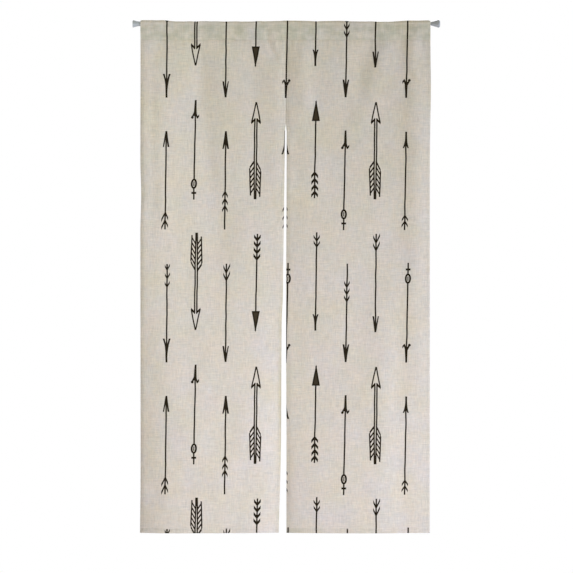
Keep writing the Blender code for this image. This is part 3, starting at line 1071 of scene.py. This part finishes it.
def outlined_head(tree, space):
    """An empty wedge drawn round with a line: two long sides from the tip, and two short ones back
    from the barbs to the shaft."""
    edge = add(tree, "Math MULTIPLY", space.along, OUTLINED_WIDTH / OUTLINED_LENGTH)
    off = add(tree, "Math SUBTRACT", space.side, edge)
    span = within(tree, space.along, OUTLINE_STARTS, OUTLINED_LENGTH)
    sides = overlap(tree, stroke(tree, off, OUTLINE_HALF), span)
    back = OUTLINED_LENGTH - OUTLINED_NOTCH
    notch = slanted(tree, space, back, OUTLINED_WIDTH, OUTLINED_NOTCH, BACK_HALF)
    span = within(tree, space.side, BACK_STARTS, OUTLINED_WIDTH + BACK_OVER)
    return union(tree, sides, overlap(tree, notch, span))


SOLID_LENGTH, SOLID_WIDTH, SOLID_POINT = 61.0, 11.5, 0.5


def solid_head(tree, space):
    """A filled wedge with a straight base."""
    flare = SOLID_WIDTH / SOLID_LENGTH
    edge = add(tree, "Math MULTIPLY_ADD", space.along, flare, SOLID_POINT)
    outer = add(tree, "Math SUBTRACT", space.side, edge)
    return overlap(tree, outer, within(tree, space.along, 0, SOLID_LENGTH))


# %% Tails
LADDERS = {
    "barbs": Rungs(ARROW - 49.5, 22.5, 2, 21, 9.8, half=2.1, longer_left=0.12),
    "short barbs": Rungs(ARROW - 42.5, 17.2, 2, 14, 9.2, half=2.1),
    "sprig": Rungs(ARROW - 67.3, 25, 3, 13, 7.4, half=1.9, longer_left=0.1),
    "stick": Rungs(ARROW - 111, 20.8, 3, 15, 8.2, half=2.1),
    "chevrons": Rungs(ARROW - 74.6, 18.7, 4, 12, 10.0, half=3.1),
}
RING_AT, RING_WIDE, RING_TALL, RING_HALF = ARROW - 42.3, 6.3, 12.0, 2.8
TICK_HALF, TICK_TALL = 1.6, 6.5
CROSS_AT, CROSS_WIDE, CROSS_HALF = ARROW - 15.5, 7.0, 2.9
RING_LONGER = 4.0  # how far the shaft of a ringed arrow runs past the others'


def ring_distance(tree, space):
    """How far a point is outside an upright oval. Squeezed by the oval's half width and height,
    the point's distance from the middle is 1 on the oval. What is over 1, divided by how fast it
    grows there, is the distance."""
    back = add(tree, "Math SUBTRACT", space.along, RING_AT)
    arm = add(tree, "CombineXYZ", space.side, back)
    squeeze = (1 / RING_WIDE, 1 / RING_TALL, 0)
    arm = add(tree, "VectorMath MULTIPLY", arm, squeeze)
    length = add(tree, "VectorMath LENGTH", arm).outputs["Value"]
    steep = add(tree, "VectorMath MULTIPLY", arm, squeeze)
    steep = add(tree, "VectorMath LENGTH", steep).outputs["Value"]
    over = add(tree, "Math SUBTRACT", length, 1.0)
    over = add(tree, "Math MULTIPLY", over, length)
    return add(tree, "Math DIVIDE", over, steep)


def ring_tail(tree, space, oval):
    """The oval as a line, a fine tick inside it, and a short bar across the shaft below it."""
    bar = within(tree, space.along, CROSS_AT - CROSS_HALF, CROSS_AT + CROSS_HALF)
    reach = add(tree, "Math SUBTRACT", space.side, CROSS_WIDE)
    bar = overlap(tree, bar, reach)
    tick = stroke(tree, space.side, TICK_HALF)
    tick_span = within(tree, space.along, RING_AT - TICK_TALL, RING_AT + TICK_TALL)
    tick = overlap(tree, tick, tick_span)
    stub = within(tree, space.along, CROSS_AT, ARROW + RING_LONGER)
    stub = overlap(tree, stroke(tree, space.side), stub)
    return union(tree, stroke(tree, oval, RING_HALF), tick, bar, stub)


FEATHER_TOP, FEATHER_END = 171.2, ARROW - 9
FEATHER_WIDE, FEATHER_TAPER = 17.3, 0.036  # half its width at the top, and how fast it narrows
SHOULDER, LONGER_RIGHT = 1.7, 0.25  # how steeply the shoulders run back, and how unlike they are
FEATHER_EDGE = 2.0
VANES = Rungs(187.1, 15.4, 5, 29.7, 18, half=1.95, steeper_right=0.15)
TWIN_OFF, TWIN_HALF = 3.2, 2.1  # the two lines of a feathered arrow's shaft
TWIN_COVER = 0.5  # how far the vanes run in past their middles
ENDS_SLANT = 0.15  # how much lower the right edge ends than the left


def feather_tail(tree, space):
    """Shoulders that run out from the shaft, the right one longer, two edges that draw together
    from there on, and slanted vanes between each edge and the shaft."""
    start = FEATHER_WIDE + FEATHER_TAPER * FEATHER_TOP
    wide = add(tree, "Math MULTIPLY_ADD", space.along, -FEATHER_TAPER, start)
    edge = add(tree, "Math SUBTRACT", space.side, wide)
    below = add(tree, "Math MULTIPLY_ADD", space.side, -SHOULDER, space.along)
    below = add(tree, "Math MULTIPLY_ADD", space.flank, -LONGER_RIGHT, below)
    below = add(tree, "Math SUBTRACT", below, FEATHER_TOP)
    above = add(tree, "Math MULTIPLY", below, -1.0)
    square = add(tree, "Math MULTIPLY", below, 1 / math.hypot(1, SHOULDER))
    in_shaft = add(tree, "Math SUBTRACT", TWIN_OFF - TWIN_COVER, space.side)
    shoulders = overlap(tree, stroke(tree, square), edge, in_shaft)
    ends = add(tree, "Math MULTIPLY_ADD", space.flank, -ENDS_SLANT, space.along)
    ends = add(tree, "Math SUBTRACT", ends, FEATHER_END)
    edges = overlap(tree, stroke(tree, edge, FEATHER_EDGE), above, ends)
    vanes = overlap(tree, ladder(tree, space, VANES), in_shaft, edge, above)
    return union(tree, edges, shoulders, vanes)


# %% The shaft
CLOSING, CLOSES_FROM = 0.016, 205.0  # how fast and from where the twin lines draw together
STUB_HALF, STUB_LONG = 3.2, 25.0
SHAFT_STARTS = 3.0


def shaft(tree, space, oval, is_ring, is_feather):
    """One line from the head to the tail's end, or two where the tail is a feather, which draw
    together into one bold stub. An open ring interrupts it."""
    single = stroke(tree, space.side)
    apart = TWIN_OFF + CLOSING * CLOSES_FROM
    apart = add(tree, "Math MULTIPLY_ADD", space.along, -CLOSING, apart)
    apart = add(tree, "Math MINIMUM", apart, TWIN_OFF)
    off = add(tree, "Math SUBTRACT", space.side, apart)
    twin = stroke(tree, off, TWIN_HALF)
    twin_start = add(tree, "Math SUBTRACT", OUTLINED_NOTCH, space.along)
    twin = overlap(tree, twin, twin_start)
    stub = within(tree, space.along, ARROW - STUB_LONG, ARROW)
    stub = overlap(tree, stroke(tree, space.side, STUB_HALF), stub)
    twin = union(tree, twin, stub)
    line = add(tree, "Mix", is_feather, sockets={"A": single, "B": twin}, data_type="FLOAT")
    inside = add(tree, "Math MULTIPLY", oval, -1.0)
    inside = add(tree, "Math MULTIPLY_ADD", is_ring, FAR, inside)
    inside = add(tree, "Math SUBTRACT", inside, FAR)
    span = within(tree, space.along, SHAFT_STARTS, ARROW)
    return overlap(tree, line.outputs["Result"], inside, span)


# %% Put the arrows together
EDGE_SOFTNESS = 0.35  # how far the ink creeps along the threads
CODE_SLACK = 0.3  # how far a code may be off its number, of the way to the next one
BROAD = (-2.6, -6.0)  # how deep inside a shape the ink starts to pale, and where it is palest


def is_kind(tree, code, kinds, kind):
    """1 where the chart's code says this kind, and 0 elsewhere."""
    number = (kinds.index(kind) + 0.5) / len(kinds)
    return add(tree, "Math COMPARE", code, number, CODE_SLACK / len(kinds))


def chosen(tree, code, kinds, shapes):
    """The distance to the one shape whose number the chart gives. Every shape is moved out of
    reach, and the chosen one is moved back."""
    moved = []
    for kind in kinds:
        match = is_kind(tree, code, kinds, kind)
        moved.append(add(tree, "Math MULTIPLY_ADD", match, -FAR, shapes[kind]))
    return add(tree, "Math ADD", union(tree, *moved), FAR)


def arrows(tree, milli):
    """How much ink is at a point, from 0 to 1: the nearest of head, tail and shaft, with a soft
    edge, and none in the columns past the cloth. The second value is 1 in the middle of a broad
    shape, where less ink is left than along its rim."""
    space = arrow_space(tree, milli)
    oval = ring_distance(tree, space)
    heads = {kind: barbed_head(tree, space, barb) for kind, barb in BARBED.items()}
    heads["hooked"] = hooked_head(tree, space)
    heads["outlined"] = outlined_head(tree, space)
    heads["solid"] = solid_head(tree, space)
    tails = {kind: ladder(tree, space, rungs) for kind, rungs in LADDERS.items()}
    tails["ring"] = ring_tail(tree, space, oval)
    tails["feather"] = feather_tail(tree, space)
    head = chosen(tree, space.head, HEADS, heads)
    tail = chosen(tree, space.tail, TAILS, tails)
    is_ring = is_kind(tree, space.tail, TAILS, "ring")
    is_feather = is_kind(tree, space.tail, TAILS, "feather")
    line = shaft(tree, space, oval, is_ring, is_feather)
    ink = union(tree, head, tail, line)
    ink = add(tree, "Math MULTIPLY_ADD", space.off_cloth, FAR, ink)
    softly = {"interpolation_type": "SMOOTHSTEP"}
    mask = add(tree, "MapRange", ink, EDGE_SOFTNESS, -EDGE_SOFTNESS, **softly)
    broad = add(tree, "MapRange", ink, *BROAD)
    return mask, broad


# %% [markdown]
# ## The linen
# The cloth is a cotton and linen plain weave in undyed greige. Linen yarn is uneven: it swells into
# slubs a few centimetres long, in both directions, and takes colour unevenly, so the surface is a
# fine criss-cross of lighter and darker threads, warmer here and cooler there, and faintly yellowed
# in broad patches. It is matt, with a little sheen from loose fibres at a low angle. Its threads
# are 0.8 mm apart, which is finer than the picture can show, so the slubs are drawn some 2.5 mm
# thick, as they read from a step away.

# %% Sizes of the weave
THREAD_PITCH = 0.8  # millimetres, as are all these
SLUB_THICK, SLUB_LONG = 2.5, 42.0
FINE_SLUB_THICK, FINE_SLUB_LONG = 1.2, 16.0
PATCH, FINE_PATCH, STAIN = 70.0, 11.0, 110.0
STAINS_AT = (900.0, 400.0, 0)  # moves the stains away from the patches
# The painted shade of doubled cloth is patchy, strongest where the two layers touch.
TOUCH_WIDE, TOUCH_TALL = 30.0, 22.0  # patches where the two layers touch

# Where most of a noise's values lie, and those of two noises added up.
NOISE, TWO_NOISES = (0.3, 0.7), (0.7, 1.3)
SLUB_SHADES = (0.84, 1.16)
TOUCHING_SHADE = (0.3, 1.0)
DRIEST = 0.985  # the share of the ink that the driest threads took
WEAVE_SHARE = 0.35  # of the weave in the relief, next to the slubs

LINEN_WARM = linear("#d4cbbd")
LINEN_COOL = linear("#cecac0")
YELLOWED = linear("#fffff2")
# The tint below is painted shade, for the light that doubled cloth holds back.
DOUBLED_SHADE_TINT = linear("#e5eae2")
INK = linear("#20190b")
BROAD_INK = linear("#393122")


def threads(tree, milli, thick, long, seed):
    """Uneven threads that run one way: noise stretched along them."""
    size = add(tree, "VectorMath MULTIPLY", milli, (1 / long, 1 / thick, 0))
    moved = add(tree, "VectorMath ADD", size, (seed, seed, 0))
    look = {"Scale": 1.0, "Detail": 2.0, "Roughness": 0.55}
    return add(tree, "TexNoise", moved, sockets=look, noise_dimensions="2D")


WARP_SEED = 50  # keeps the threads that run down unlike those that run across


def criss_cross(tree, milli, thick, long, seed):
    """Threads that run across and threads that run down, averaged."""
    weft = threads(tree, milli, thick, long, seed)
    parts = add(tree, "SeparateXYZ", milli)
    swapped = add(tree, "CombineXYZ", parts.outputs["Y"], parts.outputs["X"])
    warp = threads(tree, swapped, thick, long, seed + WARP_SEED)
    total = add(tree, "Math ADD", weft, warp)
    return add(tree, "Math MULTIPLY", total, 0.5)


# %% The weave's relief
def weave_relief(tree, milli):
    """Over and under: the sine of the way across times the sine of the way down, at the pitch of
    the threads."""
    turns = add(tree, "VectorMath SCALE", milli, sockets={"Scale": math.pi / THREAD_PITCH})
    waves = add(tree, "VectorMath SINE", turns)
    parts = add(tree, "SeparateXYZ", waves)
    return add(tree, "Math MULTIPLY", parts.outputs["X"], parts.outputs["Y"])


# %% Colour the bare cloth
def bare_linen(tree, milli, coarse, fine):
    """Warmer and cooler in patches, yellowed in stains, and lighter or darker in each slub."""
    look = {"Scale": 1 / PATCH, "Detail": 2.0}
    patches = add(tree, "TexNoise", milli, sockets=look, noise_dimensions="2D")
    look = {"Scale": 1 / FINE_PATCH, "Detail": 2.0}
    fine_patches = add(tree, "TexNoise", milli, sockets=look, noise_dimensions="2D")
    hue = add(tree, "Math ADD", patches, fine_patches)
    hue = add(tree, "MapRange", hue, *TWO_NOISES)
    pair = {COLOUR_A: LINEN_WARM, COLOUR_B: LINEN_COOL}
    base = add(tree, "Mix", hue, sockets=pair, data_type="RGBA")
    elsewhere = add(tree, "VectorMath ADD", milli, STAINS_AT)
    look = {"Scale": 1 / STAIN, "Detail": 5.0, "Roughness": 0.7}
    stains = add(tree, "TexNoise", elsewhere, sockets=look, noise_dimensions="2D")
    yellow = add(tree, "MapRange", stains, *NOISE)
    pair = {COLOUR_A: base.outputs[COLOUR_OUT], COLOUR_B: YELLOWED}
    stained = add(tree, "Mix", yellow, sockets=pair, data_type="RGBA", blend_type="MULTIPLY")
    slubs = add(tree, "Math ADD", coarse, fine)
    light = add(tree, "MapRange", slubs, *TWO_NOISES, *SLUB_SHADES)
    return add(tree, "VectorMath SCALE", stained.outputs[COLOUR_OUT], sockets={"Scale": light})


def shaded_double_linen(tree, milli, bare):
    """The bare cloth's colour with painted shade where more cloth lies behind it and less light
    comes through, and most where the layers touch."""
    backlight_shade = add(tree, "Attribute", attribute_name="backlight_shade")
    size = add(tree, "VectorMath MULTIPLY", milli, (1 / TOUCH_WIDE, 1 / TOUCH_TALL, 0))
    look = {"Scale": 1.0, "Detail": 1.0}
    touching_shade = add(tree, "TexNoise", size, sockets=look, noise_dimensions="2D")
    touching_shade = add(tree, "MapRange", touching_shade, *NOISE, *TOUCHING_SHADE)
    share = add(tree, "Math MULTIPLY", touching_shade, backlight_shade.outputs["Fac"])
    pair = {COLOUR_A: bare, COLOUR_B: DOUBLED_SHADE_TINT}
    return add(tree, "Mix", share, sockets=pair, data_type="RGBA", blend_type="MULTIPLY")


# %% Make the linen
def linen_material(name, ink_strength):
    """Linen with this much of the print showing: all of it on the printed face, and a little on
    the reverse, where the ink has soaked through."""
    made, tree = new_material(name)
    uv = add(tree, "UVMap", uv_map="cloth")
    milli = add(tree, "VectorMath SCALE", uv, sockets={"Scale": 1000.0})
    coarse = criss_cross(tree, milli, SLUB_THICK, SLUB_LONG, 3.0)
    fine = criss_cross(tree, milli, FINE_SLUB_THICK, FINE_SLUB_LONG, 17.0)
    # Painted shade where cloth lies double is mixed into the linen here.
    linen = shaded_double_linen(tree, milli, bare_linen(tree, milli, coarse, fine))
    soak = add(tree, "MapRange", fine, *NOISE, DRIEST * ink_strength, ink_strength)
    inked, broad = arrows(tree, milli)
    mask = add(tree, "Math MULTIPLY", inked, soak)
    pair = {COLOUR_A: INK, COLOUR_B: BROAD_INK}
    ink = add(tree, "Mix", broad, sockets=pair, data_type="RGBA")
    pair = {COLOUR_A: linen.outputs[COLOUR_OUT], COLOUR_B: ink.outputs[COLOUR_OUT]}
    printed = add(tree, "Mix", mask, sockets=pair, data_type="RGBA")
    relief = add(tree, "Math MULTIPLY_ADD", weave_relief(tree, milli), WEAVE_SHARE, coarse)
    bump = {"Strength": 0.35, "Distance": 0.0006, "Height": relief}
    look = {
        "Base Color": printed.outputs[COLOUR_OUT],
        "Normal": add(tree, "Bump", sockets=bump),
        "Roughness": 0.92,
        "Specular IOR Level": 0.04,
        "Sheen Weight": 0.01,
        "Sheen Roughness": 0.5,
    }
    add(tree, "OutputMaterial", add(tree, "BsdfPrincipled", sockets=look))
    return made


SOAKED_THROUGH = 0.30
linen_face = linen_material("printed linen plain weave", 1.0)
linen_reverse = linen_material("linen plain weave reverse", SOAKED_THROUGH)
for cloth in cloths.values():
    cloth.data.materials.append(linen_face)
    cloth.data.materials.append(linen_reverse)
print("nodes in the linen:", len(linen_face.node_tree.nodes))

# %% [markdown]
# ## Stitching
# Each hem, and the pocket, is closed by a line of lockstitch, and the seam down the middle by small
# stitches that cross from one panel to the other. A stitch is a grain of thread: thick in the
# middle and drawn into the cloth at its ends. One grain is worked out once and placed thousands of
# times, each lying along its line and on the cloth's own face.

# %% One grain of thread
STITCH_PITCH = 0.0032
STITCH_LENGTH = 0.0027
STITCH_RADIUS = 0.00026
STITCH_SIDES, STITCH_RINGS = 5, 4
STITCH_ENDS = 0.96  # where the end rings are, of the way from the middle to the tips
STITCH_FLAT = 1.25  # how much wider a stitch is than it is thick


def stitch_template(length):
    """Rings round the thread's line, whose size follows half an ellipse from end to end. Its
    columns are along, to the side, and outwards."""
    along = np.linspace(-STITCH_ENDS, STITCH_ENDS, STITCH_RINGS)
    size = STITCH_RADIUS * np.sqrt(1 - along**2)
    round_it = np.linspace(0, 2 * math.pi, STITCH_SIDES, endpoint=False)
    side = np.outer(size, np.cos(round_it)) * STITCH_FLAT
    out = np.outer(size, np.sin(round_it))
    along = np.broadcast_to(along[:, None] * length / 2, side.shape)
    return np.stack([along, side, out], axis=-1).reshape(-1, 3)


def stitch_faces():
    """Quads between neighbouring rings, and one face over each end."""
    ring = np.arange(STITCH_SIDES)
    after = (ring + 1) % STITCH_SIDES
    faces = []
    for first in range(0, (STITCH_RINGS - 1) * STITCH_SIDES, STITCH_SIDES):
        below, above = first, first + STITCH_SIDES
        quads = [below + ring, below + after, above + after, above + ring]
        faces += np.stack(quads, axis=-1).tolist()
    last = (STITCH_RINGS - 1) * STITCH_SIDES
    return [*faces, ring[::-1].tolist(), (last + ring).tolist()]


print("faces in a stitch:", len(stitch_faces()))


# %% Many grains
def stitch_run(places, ways, outs, length=STITCH_LENGTH):
    """Copies of the grain. Each is turned so that its length follows the line and its back faces
    out of the cloth. The third direction is square to both."""
    ways = ways / np.linalg.norm(ways, axis=1, keepdims=True)
    sides = np.cross(outs, ways)
    sides = sides / np.linalg.norm(sides, axis=1, keepdims=True)
    axes = np.stack([ways, sides, np.cross(ways, sides)], axis=1)
    return places[:, None, :] + np.einsum("mk,nkd->nmd", stitch_template(length), axes)


def thread_object(name, runs):
    """All the grains of one piece as one mesh. The grains' faces are the first one's, with the
    corner numbers moved on."""
    grains = np.concatenate(runs)
    corners = grains.shape[1]
    faces = []
    for start in range(0, len(grains) * corners, corners):
        faces += [[start + corner for corner in face] for face in stitch_faces()]
    mesh = bpy.data.meshes.new(name)
    mesh.from_pydata(grains.reshape(-1, 3).tolist(), [], faces)
    mesh.shade_smooth()
    made = bpy.data.objects.new(name, mesh)
    scene.collection.objects.link(made)
    print(name, "has", len(grains), "stitches")
    return made


# %% Lines of stitches on a panel
SINK = 0.00006  # how deep a stitch lies in the cloth
LOWEST, LAST = 0.002, 0.001  # kept clear of stitches at the ends of a line down and across


def line_places(panel, share, depth, behind):
    """Points on a face of the cloth along a line given by shares and depths."""
    x = across_at(panel, share, depth)
    y = front_face(panel, share, depth) + behind
    return np.stack(np.broadcast_arrays(x, y, -depth), axis=-1)


def both_faces(panel, share, depth, thick):
    """A line of stitches on the front and the same line on the back of cloth this thick."""
    runs = []
    for out, behind in ((-1, SINK), (1, thick - SINK)):
        places = line_places(panel, share, depth, behind)
        ways = np.gradient(places, axis=0)
        outs = np.broadcast_to([0.0, out, 0.0], places.shape)
        runs.append(stitch_run(places, ways, outs))
    return runs


def panel_stitches(panel):
    """Two side hems, the bottom hem and the pocket, each front and back."""
    width = width_of(panel)
    runs = []
    down_side = np.arange(POCKET_STITCH + STITCH_PITCH, DROP - LOWEST, STITCH_PITCH)
    for to_left in (SIDE_STITCH, width - SIDE_STITCH):
        share = np.full(len(down_side), to_left / width)
        runs += both_faces(panel, share, down_side, DOUBLE)
    share = np.arange(STITCH_PITCH / 2, width - LAST, STITCH_PITCH) / width
    for depth in (POCKET_STITCH, DROP - HEM_STITCH):
        runs += both_faces(panel, share, np.full(len(share), depth), pile(panel, share))
    return runs


stitchings = {
    panel: thread_object(panel.replace("panel", "stitching"), panel_stitches(panel))
    for panel in cloths
}

# %% The seam down the middle
SEAM_PITCH = 0.0040
SEAM_STITCH = 0.0034
SEAM_SLANT = 0.35  # how far a stitch climbs for its way across


def seam_runs():
    """Small slanting stitches across the join, on the back, from the pocket's stitches to the top
    of the slit."""
    depth = np.arange(POCKET_STITCH + SEAM_PITCH, SLIT_TOP, SEAM_PITCH)
    left = line_places("panel_left", np.ones(len(depth)), depth, 0)
    right = line_places("panel_right", np.zeros(len(depth)), depth, 0)
    middle = (left + right) / 2
    places = middle + [0, DOUBLE, 0]
    ways = np.broadcast_to([1.0, 0.0, SEAM_SLANT], places.shape)
    outs = np.broadcast_to([0.0, 1.0, 0.0], places.shape)
    return [stitch_run(places, ways, outs, SEAM_STITCH)]


seam = thread_object("stitching_seam", seam_runs())

# %% Finish the thread
# Spun polyester sewing thread, twisted from two plies: matt, close to the linen in colour and a
# little darker, because it lies in its own shadow. The twist is 0.5 mm long, too fine to show, so
# it is drawn as a fine unevenness.
TWIST = 0.0005
MOTTLES = 60.0  # patches of colour a metre, 17 mm each
thread, tree = new_material("spun polyester thread")
place = add(tree, "TexCoord").outputs["Object"]
twist = add(tree, "TexNoise", place, sockets={"Scale": 1 / TWIST, "Detail": 1.0})
mottle = add(tree, "TexNoise", place, sockets={"Scale": MOTTLES})
pair = {COLOUR_A: linear("#c3bcab"), COLOUR_B: linear("#b1aa97")}
tone = add(tree, "Mix", mottle, sockets=pair, data_type="RGBA").outputs[COLOUR_OUT]
bump = add(tree, "Bump", sockets={"Strength": 0.4, "Distance": 0.0001, "Height": twist})
look = {"Base Color": tone, "Normal": bump, "Roughness": 0.75}
add(tree, "OutputMaterial", add(tree, "BsdfPrincipled", sockets=look))
for made in [*stitchings.values(), seam]:
    made.data.materials.append(thread)

# %% [markdown]
# ## The rod's finish
# The rod is thin steel tube in white enamel. Sprayed enamel is smooth but for a faint orange peel,
# and glossy enough to show a soft highlight. The feet are moulded grey plastic with a satin skin.

# %% White enamel
PEEL = 900.0  # dimples a metre, 1.1 mm each
enamel, tree = new_material("white enamel on steel")
place = add(tree, "TexCoord").outputs["Object"]
peel = add(tree, "TexNoise", place, sockets={"Scale": PEEL, "Detail": 2.0})
rough = add(tree, "MapRange", peel, *NOISE, 0.28, 0.36)
bump = add(tree, "Bump", sockets={"Strength": 0.15, "Distance": 0.0001, "Height": peel})
look = {"Base Color": linear("#eeeeea"), "Normal": bump, "Roughness": rough}
add(tree, "OutputMaterial", add(tree, "BsdfPrincipled", sockets=look))

# %% Moulded plastic
GRAINS, FLOW_MARKS = 2600.0, 140.0  # a metre, 0.4 mm and 7 mm each
plastic, tree = new_material("moulded grey plastic")
place = add(tree, "TexCoord").outputs["Object"]
grain = add(tree, "TexNoise", place, sockets={"Scale": GRAINS, "Detail": 3.0})
flow = add(tree, "TexNoise", place, sockets={"Scale": FLOW_MARKS, "Detail": 1.0})
pair = {COLOUR_A: linear("#a9aeac"), COLOUR_B: linear("#9ea3a1")}
tone = add(tree, "Mix", flow, sockets=pair, data_type="RGBA").outputs[COLOUR_OUT]
rough = add(tree, "MapRange", grain, *NOISE, 0.40, 0.52)
bump = add(tree, "Bump", sockets={"Strength": 0.25, "Distance": 0.00008, "Height": grain})
look = {"Base Color": tone, "Normal": bump, "Roughness": rough}
add(tree, "OutputMaterial", add(tree, "BsdfPrincipled", sockets=look))

# %% Dress the rod
FINISHES = {
    "rod_outer_tube": enamel,
    "rod_inner_tube": enamel,
    "end_cap_left": plastic,
    "end_cap_right": plastic,
}
for node, finish in FINISHES.items():
    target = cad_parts[node]
    target.data.materials.clear()
    target.data.materials.append(finish)
print("finished:", sorted(FINISHES))

# %% [markdown]
# ## Attach to the body
# Each cloth and its stitches ride on the one body, and each cloth stands for its plain panel,
# which is hidden.

for panel, cloth in cloths.items():
    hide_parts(panel)
    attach(cloth, "root")
    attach(stitchings[panel], "root")
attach(seam, "root")
